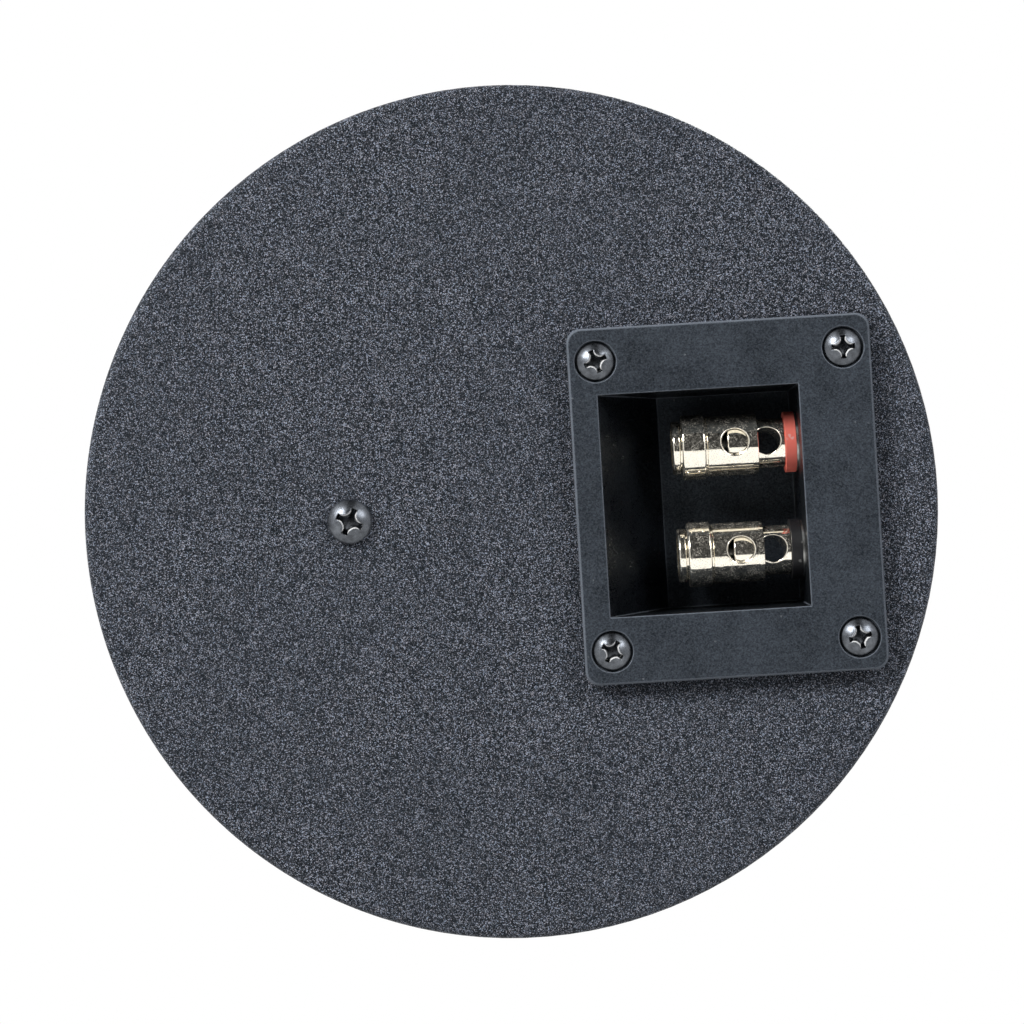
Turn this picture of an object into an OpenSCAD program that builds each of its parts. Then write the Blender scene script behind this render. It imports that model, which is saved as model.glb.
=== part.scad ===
// In-wall speaker in a sealed round can, with a spring-loaded terminal cup in its rear.
// Every piece is drawn on the bench, lying on its front with +Z towards the rear face,
// with z = 0 at the back of the flange, and in_wall() stands it up: rear to -Y, front to +Y.

/* [Can] */
// Outer diameter of the can
can_d = 160.5; // [156:0.5:164]
// Depth from the back of the flange to the rear face
can_depth = 95; // [92:1:120]
// Thickness of the can's sheet steel
can_sheet = 1.2; // [0.8:0.1:1.6]
// Outer radius of the can's rear edge
can_edge_r = 1.5; // [1.3:0.1:4]
// Width of the lip that is rolled in at the can's mouth
can_lip_w = 7.4; // [6.8:0.1:7.6]
// Thickness of the foam ring between the lip and the flange
can_gasket_t = 1.3; // [0.9:0.1:1.7]

/* [Flange] */
// Distance that the flange reaches beyond the can
flange_lip = 10.75; // [9.75:0.25:16]
// Depth of the seat for the can's foam ring, in the flange's back
can_seat_sink = 0.3; // [0.2:0.1:0.6]
// Thickness of the flange
flange_t = 5; // [4.6:0.1:5.4]
// Width of the rim that surrounds the grille
rim_w = 2.3; // [1.6:0.1:2.6]
// Height of that rim in front of the flange
rim_h = 4; // [3.6:0.1:5]
// Depth of the well that holds the woofer, behind the flange's back
well_depth = 7; // [6.6:0.1:8]
// Wall thickness of the well
well_wall = 2.5; // [2:0.1:3]
// Thickness of the well's floor
well_floor = 3; // [2.4:0.1:3.2]
// Number of holes for the wall screws
wall_bolt_count = 6; // [4, 6, 8]
// Distance from the flange's edge to the middle of a wall screw hole
wall_bolt_inset = 6.5; // [6:0.1:6.8]
// Diameter of a wall screw hole
wall_bolt_hole = 4.2; // [3.6:0.1:4.6]
// Diameter of the counterbore for a wall screw's head
wall_bolt_head = 7.8; // [6.8:0.1:8]
// Depth of that counterbore
wall_bolt_sink = 2.4; // [1.6:0.1:3]

/* [Grille] */
// Thickness of the grille's sheet
grille_t = 0.8; // [0.6:0.1:1]
// Gap between the flange and the back of the grille
grille_stand = 3; // [2.9:0.1:3.2]
// Depth of the grille's folded edge
grille_fold = 2.6; // [1.6:0.1:2.8]
// Diameter of a grille magnet
grille_magnet_d = 8; // [6:0.5:8]
// Thickness of a grille magnet
grille_magnet_t = 2.8; // [2:0.1:3]
// Number of grille magnets
grille_magnet_count = 4; // [2, 4]
// Distance from the grille's edge to the middle of a magnet
grille_magnet_inset = 8.4; // [7.9:0.1:8.9]

/* [Terminal cup] */
// Distance of the cup's centre to the right of the can's axis
cup_x = 40.35; // [38:0.05:42]
// Distance of the cup's centre above the can's axis
cup_y = 2.3; // [-2:0.1:6]
// Angle by which the cup is turned, anticlockwise
cup_turn = 3.4; // [0:0.1:6]
// Width of the cup's plate to the left of the opening
plate_left_w = 5.2; // [4.6:0.1:7]
// Width of the cup's plate to the right of the opening
plate_right_w = 13.9; // [13.4:0.1:16]
// Height of the cup's plate above the opening, and below it
plate_band_h = 12.55; // [12.2:0.05:14]
// Thickness of the cup's plate
cup_plate_t = 2.8; // [2.4:0.1:3.4]
// Radius of the plate's corners
cup_corner_r = 2.6; // [1:0.1:4]
// Bevel along the plate's front edges
cup_bevel = 0.45; // [0.2:0.05:0.6]
// Width of the recess's opening
opening_w = 37.6; // [37:0.1:38.4]
// Height of the recess's opening
opening_h = 41.6; // [40.6:0.1:42.4]
// Depth of the recess behind the can's rear face
recess_depth = 20; // [18.5:0.5:24]
// Distance that the sloping left wall runs inwards
recess_slope = 12; // [6:0.5:12.5]
// Distance that the top and bottom walls run inwards
recess_draft = 0.45; // [0.2:0.05:1]
// Wall thickness of the recess
cup_wall = 2.2; // [1.8:0.1:2.6]
// Thickness of the foam gasket under the plate
cup_gasket_t = 0.8; // [0.5:0.1:1.2]
// Distance that the gasket stays back from the plate's edge
cup_gasket_inset = 0.9; // [0.5:0.1:1.2]

/* [Cup screws] */
// Distance from the plate's side to the middle of a cup screw
cup_screw_in_x = 5.2; // [5:0.1:5.4]
// Distance from the plate's top or bottom to the middle of a cup screw
cup_screw_in_y = 6.25; // [5.8:0.05:6.6]
// Head diameter of a cup screw
cup_screw_head = 7.05; // [6.4:0.05:7.2]
// Head height of a cup screw
cup_screw_head_h = 2.5; // [2.2:0.1:3]
// Shank diameter of a cup screw
cup_screw_d = 3.4; // [3:0.1:3.6]
// Shank length of a cup screw
cup_screw_len = 11; // [8:1:14]
// Diameter of the counterbore that a cup screw's head sits in
cup_counterbore = 7.8; // [7.5:0.1:8]
// Depth of that counterbore
cup_sink = 1.1; // [0.6:0.1:1.4]

/* [Board fixing] */
// Distance of the board's screw from the can's axis, to the left
board_screw_x = 30.3; // [28:0.1:32]
// Distance of the board's screw below the can's axis
board_screw_y = 1.9; // [0:0.1:4]
// Head diameter of the board's screw
board_screw_head = 8.3; // [7.6:0.1:9]
// Head height of the board's screw
board_screw_head_h = 2.9; // [2.4:0.1:3.2]
// Shank diameter of the board's screw
board_screw_d = 4; // [3.5:0.1:4.2]
// Length of the spacer between the can and the board
spacer_len = 9.8; // [8:0.1:11]
// Outer diameter of the spacer
spacer_d = 7; // [6.4:0.1:8]
// Thickness of the nut on the board's screw
board_nut_t = 3.2; // [2.4:0.1:3.6]
// Width across the flats of that nut
board_nut_af = 7; // [6.5:0.1:8]

/* [Binding posts] */
// Distance between the two posts' axes
post_spacing = 20.4; // [19.6:0.1:21]
// Depth of the posts' axes behind the can's rear face
post_drop = 8.5; // [8:0.1:10]
// Diameter of a post's body
post_d = 9.4; // [9:0.1:9.6]
// Distance from the cup's wall to the post's tip
post_reach = 13.4; // [13.2:0.1:13.6]
// Distance from the cup's wall to the post's wire hole
post_hole_at = 5.9; // [5.6:0.1:6.2]
// Diameter of the wire holes
wire_hole_d = 5.5; // [4.5:0.1:5.6]
// Angle of the wire holes above straight out
wire_hole_clock = 6.5; // [0:0.5:12]
// Diameter of the threaded tail
tail_d = 4; // [3.5:0.1:4]
// Length of the tail behind the cup's wall
tail_len = 7.6; // [7:0.1:9]
// Thickness of the insulating ring
ring_t = 2; // [1.6:0.1:2.2]
// Diameter of the insulating ring
ring_d = 11.5; // [10.6:0.1:12]
// Thickness of the metal washer
washer_t = 0.4; // [0.3:0.1:0.6]
// Diameter of the metal washer
washer_d = 11; // [9:0.1:11.5]
// Thickness of the solder tag
tag_t = 0.8; // [0.5:0.1:1]
// Length of the solder tag's tail
tag_len = 12; // [10:0.5:13]
// Thickness of the nut on the tail
nut_t = 3.2; // [2.6:0.1:3.4]
// Width across that nut's flats
nut_af = 7; // [6.6:0.1:8]

/* [Sleeves] */
// Distance that the sleeve can be pressed in
sleeve_travel = 5; // [4:0.1:5.4]
// Length of the sleeve
sleeve_len = 16.2; // [16.2:0.1:17]
// Diameter of the sleeve's main part
sleeve_d = 11.5; // [11.2:0.1:11.8]
// Diameter of the sleeve's cap
cap_d = 12.4; // [12.1:0.1:12.8]
// Length of the sleeve's cap
cap_len = 4.6; // [4:0.1:5]
// Diameter of the lip at the sleeve's tip
lip_d = 9.8; // [9:0.1:10]
// Length of that lip
lip_len = 1.6; // [1.2:0.1:2]
// Distance from the sleeve's open end to its wire hole
sleeve_hole_in = 4.4; // [4:0.1:4.8]
// Radial clearance between the sleeve and the post
sleeve_gap = 0.12; // [0.08:0.01:0.2]
// Thickness of the web inside the sleeve
web_t = 1.5; // [1.2:0.1:1.6]
// Diameter of the socket in the sleeve's tip
socket_d = 7.6; // [7:0.1:8]
// Diameter of the stem that the sleeve rides on
stem_d = 3.6; // [3.2:0.1:4]
// Head diameter of the stem
stem_head_d = 6.4; // [5.6:0.1:6.6]
// Head thickness of the stem
stem_head_t = 1.6; // [1.2:0.1:2]
// Diameter of the return spring, at the middle of its wire
spring_d = 5.2; // [4.8:0.1:5.3]
// Diameter of the spring's wire
spring_wire = 0.45; // [0.3:0.05:0.5]
// Number of turns of the spring
spring_turns = 4.5; // [3:0.5:5]
// Diameter of the pocket that the spring sits in
pocket_d = 6.6; // [6.2:0.1:7]
// Depth of that pocket
pocket_depth = 2.1; // [1.8:0.1:2.4]

/* [Woofer] */
// Gap between the basket's front ring and the well
basket_gap = 0.75; // [0.5:0.05:1.5]
// Width of the basket's front ring
basket_ring_w = 17; // [16:0.5:18]
// Thickness of the basket's sheet
basket_t = 1.5; // [1.2:0.1:1.6]
// Thickness of the woofer's gasket
woofer_gasket_t = 1; // [0.6:0.1:1.4]
// Distance from the basket's edge to the middle of a woofer screw
woofer_screw_inset = 4.5; // [4.2:0.1:4.9]
// Depth of the basket, from its front ring to its floor
basket_depth = 22.5; // [22:0.1:24]
// Width of the surround's roll
surround_w = 8.8; // [8:0.1:10]
// Thickness of the cone
cone_t = 0.7; // [0.5:0.1:0.9]
// Diameter of the dust cap
dust_cap_d = 34; // [30:1:36]
// Diameter of the magnet
magnet_d = 80; // [76:1:84]
// Thickness of the magnet
magnet_t = 14; // [10:1:18]
// Thickness of the top plate
top_plate_t = 5; // [4:0.5:6]
// Thickness of the yoke's plate
yoke_t = 5; // [4:0.5:6]
// Inner diameter of the voice coil's former
former_d = 25.4; // [25:0.1:25.8]
// Wall thickness of the former
former_t = 0.25; // [0.2:0.05:0.3]
// Radial thickness of the winding
winding_t = 0.45; // [0.3:0.05:0.5]
// Length of the winding
winding_len = 10; // [8:0.5:11]

/* [Tweeter] */
// Width of the bridge's strap
bridge_w = 12; // [10:0.5:14]
// Thickness of the bridge's strap
bridge_t = 1.2; // [1:0.1:1.4]
// Diameter of the tweeter's body
tweeter_d = 29; // [26:0.5:30]
// Depth of the tweeter's body
tweeter_depth = 8; // [6.5:0.5:8.5]
// Diameter of the tweeter's dome
dome_d = 18; // [16:0.5:19]

/* [Crossover] */
// Width of the board
board_w = 66; // [64:1:68]
// Height of the board
board_h = 62; // [58:1:64]
// Thickness of the board
board_t = 1.6; // [1.2:0.1:2]
// Diameter of the inductor
inductor_d = 24; // [20:1:26]
// Length of the inductor
inductor_len = 14; // [10:1:16]
// Diameter of the woofer's capacitor
woofer_cap_d = 15; // [12:0.5:16]
// Length of the woofer's capacitor
woofer_cap_len = 26; // [20:1:30]
// Diameter of the tweeter's capacitor
tweeter_cap_d = 9; // [7:0.5:11]
// Length of the tweeter's capacitor
tweeter_cap_len = 18; // [14:1:22]

/* [Leads and wadding] */
// Outer diameter of the input leads
input_lead_d = 2.2; // [1.6:0.1:2.4]
// Outer diameter of the woofer's and tweeter's leads
driver_lead_d = 1.7; // [1.4:0.1:1.8]
// Thickness of the wadding that lines the can
wadding_t = 7; // [4:0.5:7.5]

/* [Hidden] */

$fn = 96;
fit_gap = 0.15;
soft_gap = 0.3;
through = 40;
screw_tip_len = 1.2;

// Can and flange, worked out
can_r = can_d / 2;
can_inner_r = can_r - can_sheet;
can_mouth = can_gasket_t - can_seat_sink;
can_seat_r = can_r + soft_gap;
lip_inner_r = can_r - can_lip_w;
flange_r = can_r + flange_lip;
wall_bolt_at = flange_r - wall_bolt_inset;
flange_front = -flange_t;
rim_inner_r = flange_r - rim_w;
rim_front = flange_front - rim_h;
grille_back = flange_front - grille_stand;
grille_r = rim_inner_r - soft_gap;
grille_magnet_at = grille_r - grille_magnet_inset;
well_outer_r = lip_inner_r - 0.6;
well_inner_r = well_outer_r - well_wall;
well_floor_front = well_depth - well_floor;
can_screw_at = (lip_inner_r + can_inner_r) / 2;
can_screw_count = 6;
can_screw_d = 3;
can_screw_head = 5.6;
can_screw_head_h = 2;
can_screw_len = 13;

// Cup and posts, worked out
plate_back = cup_gasket_t;
plate_front = plate_back + cup_plate_t;
cup_w = plate_left_w + opening_w + plate_right_w;
cup_h = opening_h + 2 * plate_band_h;
cup_screw_dx = cup_w - 2 * cup_screw_in_x;
cup_screw_dy = cup_h - 2 * cup_screw_in_y;
opening_left = plate_left_w - cup_w / 2;
opening_right = opening_left + opening_w;
cut_left = opening_left - cup_wall - fit_gap;
cut_right = opening_right + cup_wall + tail_len + 0.5;
cut_half_h = opening_h / 2 + cup_wall + fit_gap;
recess_total = recess_depth + plate_front;
// Each corner's side across, side up, and the angle that its screw stopped at
cup_screw_turns = [[-1, 1, 20], [1, 1, 0], [-1, -1, -33], [1, -1, 12]];
post_v = [post_spacing / 2, -post_spacing / 2];
post_root = washer_t + ring_t;
sleeve_r = sleeve_d / 2;
sleeve_bore_r = post_d / 2 + sleeve_gap;
sleeve_at = post_root + sleeve_travel + 0.2;
sleeve_end = sleeve_at + sleeve_len;
sleeve_hole_at = sleeve_at + sleeve_hole_in;
web_at = post_reach + sleeve_travel + 0.1;
pocket_floor = post_reach - pocket_depth;
tail_bore_r = tail_d / 2 + fit_gap;
groove_w = 0.6;
spring_len = web_at - pocket_floor - 0.1;
spring_sides = 6;
spring_steps = 14;

// Board, worked out
rear_inside = can_depth - can_sheet;
board_back = rear_inside - spacer_len;
board_front = board_back - board_t;
wadding_outer_r = can_inner_r - 0.2;
wadding_inner_r = wadding_outer_r - wadding_t;
board_edge_gap = 2.8;
board_left = board_edge_gap - sqrt(pow(wadding_inner_r, 2) - pow(board_h / 2, 2));
board_screw_turn = 67;
part_gap = 1;
bobbin_flange = 1.2;
core_r = 6;
leg_out = 3;
leg_d = 0.8;
woofer_cap_x = board_left + 2 + leg_out + woofer_cap_len / 2;
inductor_x = woofer_cap_x + woofer_cap_len / 2 + leg_out + part_gap + inductor_d / 2;
inductor_y = 17;
woofer_cap_y = 19;
tweeter_cap_x = board_left + 18;
tweeter_cap_y = -14;
resistor_x = board_left + 38;
resistor_y = -20;
resistor_w = 22;
resistor_h = 9;
board_screw_len = can_sheet + spacer_len + board_t + board_nut_t + 1.2;
pad_w = 12;
pad_h = 40;

// Woofer, worked out
gasket_front = well_floor_front - woofer_gasket_t;
basket_front = gasket_front - basket_t;
basket_r = well_inner_r - basket_gap;
basket_hole_r = basket_r - basket_ring_w;
well_hole_r = basket_hole_r + 1.6;
surround_foot_w = 5;
surround_r = basket_hole_r + surround_foot_w;
landing_depth = 15.5;
landing_z = basket_front + landing_depth;
landing_r = basket_hole_r - 15;
basket_back = basket_front + basket_depth;
floor_outer_r = landing_r - 5;
plate_z = basket_back;
magnet_z = plate_z + top_plate_t;
yoke_z = magnet_z + magnet_t;
gap_inner_r = former_d / 2 - 0.4;
gap_outer_r = former_d / 2 + former_t + winding_t + 0.4;
former_outer_r = former_d / 2 + former_t;
floor_inner_r = gap_outer_r + 1.7;
magnet_inner_r = gap_outer_r + 3.2;
motor_r = magnet_d / 2 - 2;
cone_r = basket_hole_r - surround_w;
cone_lip = 3;
cone_rim_z = basket_front;
cone_deep = 14.1;
cone_neck_r = former_outer_r + 0.1;
surround_t = 0.6;
roll_mid_r = (cone_r + basket_hole_r + 0.3) / 2;
roll_r = roll_mid_r - cone_r;
dust_rise = 4.8;
former_front = cone_rim_z + cone_deep - 2;
former_len = 19;
winding_z = plate_z + top_plate_t / 2 - winding_len / 2;
spider_inner_r = former_outer_r + soft_gap;
woofer_screw_at = basket_r - woofer_screw_inset;
driver_screw_len = 8;
driver_screw_d = 3.4;
driver_screw_head = 6;
driver_screw_head_h = 2.2;

// Tweeter bridge, worked out
bridge_front = grille_back + 0.6;
bridge_back = bridge_front + bridge_t;
bridge_foot_t = 1.5;
bridge_foot_front = basket_front - bridge_foot_t;
bridge_leg_r = surround_r + 0.2 + bridge_t;
bridge_foot_r = woofer_screw_at + 3.5;
bridge_screw_len = driver_screw_len + bridge_foot_t - 0.5;
bridge_hub_r = 18;
horn_r = dome_d / 2 + 1.6;
dome_rise = 2;
lead_hole = [-basket_hole_r - 8, -9.6];

// Lead routes: each starts at the piece it is soldered to
tail_x = cup_x + opening_right + cup_wall;
tag_end = can_depth - post_drop - tag_len;
lead_gap = 0.3;
board_end = board_front - lead_gap;
red_y = cup_y + post_spacing / 2 + 1.1;
black_y = cup_y - post_spacing / 2 + 1.1;
red_route = [
    [tail_x + 0.7, red_y, tag_end - lead_gap], [tail_x + 0.4, red_y - 0.1, tag_end - 4.5],
    [52.5, 13, tag_end - 8.1], [40, 12, tag_end - 9.5], [24, 10.5, tag_end - 9],
    [11, 8.5, tag_end - 5.5], [3, 7.2, tag_end + 0.5], [1, 7, board_end]
];
black_route = [
    [tail_x + 1.9, black_y, tag_end - lead_gap], [tail_x + 1.6, black_y, tag_end - 4.5],
    [53.5, -7, tag_end - 8.1], [40, -7.4, tag_end - 9.5], [24, -7.4, tag_end - 9],
    [11, -7.2, tag_end - 5.5], [3, -7, tag_end + 0.5], [1, -7, board_end]
];
woofer_route = [
    [-18, -31.2, 20.9], [-21, -36.5, 21.6], [-23, -40.5, 25], [-23.6, -41.6, 34],
    [-22, -40, board_end - 34.1], [-15, -34, board_end - 20.1], [-8, -28, board_end - 9.1],
    [-6, -26, board_end]
];
tweeter_route = [
    [-50, -24, board_end], [-52, -25, board_end - 8.1], [-57, -24, board_end - 24.1],
    [-60, -20, 38], [-60.6, -12, 20], [-60, -9.6, 9], [-60, -9.6, -1], [-57.5, -8.6, -5],
    [-48, -7.6, -6.1], [-30, -7.6, -6.1], [-19, -6.8, -5.6], [-14.6, -4, -3.6]
];

// Colours, as the photograph shows them
can_colour = [0.27, 0.29, 0.32];
cup_colour = [0.13, 0.14, 0.16];
screw_colour = [0.2, 0.2, 0.22];
gold_colour = [0.86, 0.76, 0.52];
red_colour = [0.76, 0.16, 0.14];
black_colour = [0.08, 0.08, 0.09];
foam_colour = [0.06, 0.06, 0.06];
steel_colour = [0.7, 0.71, 0.73];
spring_colour = [0.5, 0.42, 0.32];
flange_colour = [0.88, 0.88, 0.86];

// Stands the speaker up as it is fixed in a wall
module in_wall() {
    rotate([90, 0, 0]) children();
}

// Places a piece on the can's rear face, turned with the cup
module at_cup() {
    translate([cup_x, cup_y, can_depth]) rotate([0, 0, cup_turn]) children();
}

// Places a piece on a post's axis, with z = 0 at the cup's wall and +z towards the tip
module at_post(side) {
    at_cup() translate([opening_right, post_v[side], -post_drop]) rotate([0, -90, 0]) children();
}

// Copies a piece round the speaker's axis
module ring_of(count, radius, first) {
    for (i = [0:count - 1]) {
        rotate([0, 0, first + i * 360 / count]) translate([radius, 0, 0]) children();
    }
}

// Copies a piece to the cup's four corners
module cup_corners() {
    for (sx = [-1, 1]) {
        for (sy = [-1, 1]) {
            translate([sx * cup_screw_dx / 2, sy * cup_screw_dy / 2, 0]) children();
        }
    }
}

// Ring between two radii
module tube(outer_r, inner_r, height) {
    difference() {
        cylinder(r = outer_r, h = height);
        translate([0, 0, -1]) cylinder(r = inner_r, h = height + 2);
    }
}

// Pan-head screw with a cross recess: head up, underside of the head at z = 0
module pan_screw(head_d, head_h, shank_d, shank_len, turn) {
    side_h = head_h * 0.35;
    rise = head_h - side_h;
    dome_r = (pow(head_d / 2, 2) + pow(rise, 2)) / (2 * rise);
    recess_w = head_d * 0.17;
    recess_l = head_d * 0.62;
    difference() {
        union() {
            intersection() {
                cylinder(d = head_d, h = head_h);
                translate([0, 0, head_h - dome_r]) sphere(r = dome_r);
            }
            translate([0, 0, -shank_len + screw_tip_len]) {
                cylinder(d = shank_d, h = shank_len - screw_tip_len + 0.2);
            }
            translate([0, 0, -shank_len]) {
                cylinder(d1 = shank_d * 0.4, d2 = shank_d, h = screw_tip_len);
            }
        }
        for (a = [0, 90]) {
            rotate([0, 0, turn + a]) translate([0, 0, head_h]) {
                cube([recess_l, recess_w, head_h * 1.2], center = true);
            }
        }
    }
}

// Hex nut with its bore, from z = 0 up
module hex_nut(flats, thick, bore_r) {
    difference() {
        cylinder(d = flats / cos(30), h = thick, $fn = 6);
        translate([0, 0, -1]) cylinder(r = bore_r, h = thick + 2);
    }
}

// Points of an arc about a centre, for turned outlines
function arc(cx, cy, r, a0, a1, steps) =
    [for (i = [0:steps]) let (a = a0 + (a1 - a0) * i / steps) [cx + r * cos(a), cy + r * sin(a)]];

// Vector sums that the swept tubes need
function unit(v) = v / norm(v);
function knot(p, i) = p[max(0, min(len(p) - 1, i))];
function between(p, i, t) =
    let (a = knot(p, i - 1), b = knot(p, i), c = knot(p, i + 1), d = knot(p, i + 2))
    0.5 * (2 * b + (c - a) * t + (2 * a - 5 * b + 4 * c - d) * t * t
        + (3 * b - a - 3 * c + d) * t * t * t);
function smooth(p, steps) = concat(
    [for (i = [0:len(p) - 2]) for (k = [0:steps - 1]) between(p, i, k / steps)],
    [p[len(p) - 1]]
);
function heading(p, i) = unit(knot(p, i + 1) - knot(p, i - 1));

// Tube swept along points, with its rings set square to the path
module swept(path, radius, sides, side_on) {
    count = len(path);
    rings = [
        for (i = [0:count - 1])
            let (t = heading(path, i), n = unit(cross(t, side_on)), b = cross(t, n))
            for (k = [0:sides - 1])
                let (a = 360 * k / sides) path[i] + radius * (n * cos(a) + b * sin(a))
    ];
    walls = [
        for (i = [0:count - 2])
            for (k = [0:sides - 1])
                [i * sides + k, i * sides + (k + 1) % sides,
                    (i + 1) * sides + (k + 1) % sides, (i + 1) * sides + k]
    ];
    first_cap = [for (k = [sides - 1:-1:0]) k];
    last_cap = [for (k = [0:sides - 1]) (count - 1) * sides + k];
    polyhedron(rings, concat(walls, [first_cap], [last_cap]), convexity = 8);
}

// Can

module can_outline(outer_r, z0, z1, edge_r) {
    union() {
        translate([0, z0]) square([outer_r, z1 - z0 - edge_r]);
        translate([0, z0]) square([outer_r - edge_r, z1 - z0]);
        intersection() {
            translate([outer_r - edge_r, z1 - edge_r]) circle(r = edge_r);
            translate([0, z0]) square([outer_r + 1, z1 - z0]);
        }
    }
}

module cup_cutout() {
    translate([cut_left, -cut_half_h, -through / 2]) {
        cube([cut_right - cut_left, 2 * cut_half_h, through]);
    }
}

module back_can() color(can_colour) in_wall() {
    difference() {
        rotate_extrude() {
            difference() {
                can_outline(can_r, can_mouth, can_depth, can_edge_r);
                difference() {
                    can_outline(can_inner_r, 0, rear_inside, can_edge_r - can_sheet);
                    translate([lip_inner_r, 0]) square([can_r, can_mouth + can_sheet]);
                }
            }
        }
        at_cup() {
            cup_cutout();
            cup_corners() cylinder(d = cup_screw_d, h = through, center = true);
        }
        translate([-board_screw_x, -board_screw_y, can_depth]) {
            cylinder(d = board_screw_d + 2 * fit_gap, h = through, center = true);
        }
        ring_of(can_screw_count, can_screw_at, 30) cylinder(d = can_screw_d, h = 8);
    }
}

// Terminal cup

module rounded_plate(w, h, r) {
    union() {
        square([w - 2 * r, h], center = true);
        square([w, h - 2 * r], center = true);
        for (sx = [-1, 1]) {
            for (sy = [-1, 1]) {
                translate([sx * (w / 2 - r), sy * (h / 2 - r)]) circle(r = r);
            }
        }
    }
}

// Space inside the recess, or its outside when it is grown by the wall
module recess_space(grow, top) {
    depth = recess_total + grow;
    slope = recess_slope * depth / recess_total;
    draft = recess_draft * depth / recess_total;
    half_h = opening_h / 2 + grow;
    intersection() {
        rotate([90, 0, 0]) linear_extrude(height = opening_h * 2, center = true) {
            polygon([
                [opening_left - grow, plate_front], [opening_right + grow, plate_front],
                [opening_right + grow, plate_front - depth],
                [opening_left - grow + slope, plate_front - depth]
            ]);
        }
        rotate([90, 0, 90]) linear_extrude(height = opening_w * 4, center = true) {
            polygon([
                [-half_h, plate_front], [half_h, plate_front],
                [half_h - draft, plate_front - depth], [-half_h + draft, plate_front - depth]
            ]);
        }
    }
    translate([opening_left - grow, -half_h, plate_front]) {
        cube([opening_w + 2 * grow, 2 * half_h, top]);
    }
}

module plate_blank() {
    translate([0, 0, plate_back]) {
        linear_extrude(height = cup_plate_t - cup_bevel) rounded_plate(cup_w, cup_h, cup_corner_r);
    }
    translate([0, 0, plate_front - cup_bevel]) {
        linear_extrude(height = cup_bevel) {
            rounded_plate(cup_w - cup_bevel, cup_h - cup_bevel, cup_corner_r);
        }
    }
}

module terminal_cup() color(cup_colour) in_wall() at_cup() {
    difference() {
        union() {
            plate_blank();
            intersection() {
                recess_space(cup_wall, 0.01);
                translate([-cup_w, -cup_h, -through]) cube([2 * cup_w, 2 * cup_h, through + 1]);
            }
        }
        recess_space(0, 5);
        cup_corners() {
            cylinder(d = cup_screw_d + 2 * fit_gap, h = 10);
            translate([0, 0, plate_front - cup_sink]) cylinder(d = cup_counterbore, h = 5);
        }
        for (side = [0, 1]) {
            translate([opening_right - 1, post_v[side], -post_drop]) rotate([0, 90, 0]) {
                cylinder(r = tail_bore_r, h = cup_wall + 2);
            }
        }
    }
}

module cup_gasket() color(foam_colour) in_wall() at_cup() {
    gasket_w = cup_w - 2 * cup_gasket_inset;
    gasket_h = cup_h - 2 * cup_gasket_inset;
    difference() {
        linear_extrude(height = cup_gasket_t) {
            rounded_plate(gasket_w, gasket_h, cup_corner_r - cup_gasket_inset);
        }
        cup_cutout();
        cup_corners() cylinder(d = cup_screw_d + 2 * fit_gap, h = 5, center = true);
    }
}

module cup_screws() color(screw_colour) in_wall() at_cup() {
    for (corner = cup_screw_turns) {
        at_x = corner[0] * cup_screw_dx / 2;
        at_y = corner[1] * cup_screw_dy / 2;
        translate([at_x, at_y, plate_front - cup_sink]) {
            pan_screw(cup_screw_head, cup_screw_head_h, cup_screw_d - 0.02, cup_screw_len, corner[2]);
        }
    }
}

module board_screw() color(screw_colour) in_wall() {
    translate([-board_screw_x, -board_screw_y, can_depth]) {
        pan_screw(
            board_screw_head, board_screw_head_h, board_screw_d, board_screw_len, board_screw_turn
        );
    }
}

// Binding posts

module wire_bore(at) {
    translate([0, 0, at]) rotate([0, 0, wire_hole_clock]) rotate([0, 90, 0]) {
        cylinder(d = wire_hole_d, h = through, center = true);
    }
}

module post(side) {
    chamfer = 0.5;
    color(gold_colour) in_wall() at_post(side) difference() {
        rotate_extrude() polygon([
            [0, -tail_len - cup_wall], [tail_d / 2, -tail_len - cup_wall], [tail_d / 2, post_root],
            [post_d / 2, post_root], [post_d / 2, post_reach - chamfer],
            [post_d / 2 - chamfer, post_reach], [0, post_reach]
        ]);
        translate([0, 0, pocket_floor]) cylinder(d = pocket_d, h = through);
        translate([0, 0, pocket_floor - 2.4]) cylinder(d = stem_d - 1, h = through);
        wire_bore(post_hole_at);
    }
}

// Turned sleeve: plain barrel, groove, fuller cap with rounded edges, groove, lip
module sleeve(side) {
    round_r = 0.9;
    cap_r = cap_d / 2;
    lip_r = lip_d / 2;
    cap_start = sleeve_end - lip_len - groove_w - cap_len;
    cap_end = cap_start + cap_len;
    color(gold_colour) in_wall() at_post(side) difference() {
        rotate_extrude() polygon(concat(
            [[0, sleeve_at], [sleeve_r - 0.3, sleeve_at], [sleeve_r, sleeve_at + 0.3]],
            [[sleeve_r, cap_start - groove_w], [sleeve_r - 0.5, cap_start - groove_w]],
            [[sleeve_r - 0.5, cap_start]],
            arc(cap_r - round_r, cap_start + round_r, round_r, -90, 0, 3),
            arc(cap_r - round_r, cap_end - round_r, round_r, 0, 90, 3),
            [[lip_r - 0.4, cap_end], [lip_r - 0.4, cap_end + groove_w]],
            arc(lip_r - 0.5, cap_end + groove_w + 0.5, 0.5, -90, 0, 2),
            arc(lip_r - 0.5, sleeve_end - 0.5, 0.5, 0, 90, 2),
            [[0, sleeve_end]]
        ));
        translate([0, 0, sleeve_at - 1]) cylinder(r = sleeve_bore_r, h = web_at - sleeve_at + 1);
        translate([0, 0, web_at - 1]) cylinder(r = stem_d / 2 + 0.2, h = web_t + 2);
        translate([0, 0, web_at + web_t]) cylinder(d = socket_d, h = through);
        wire_bore(sleeve_hole_at);
    }
}

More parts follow.
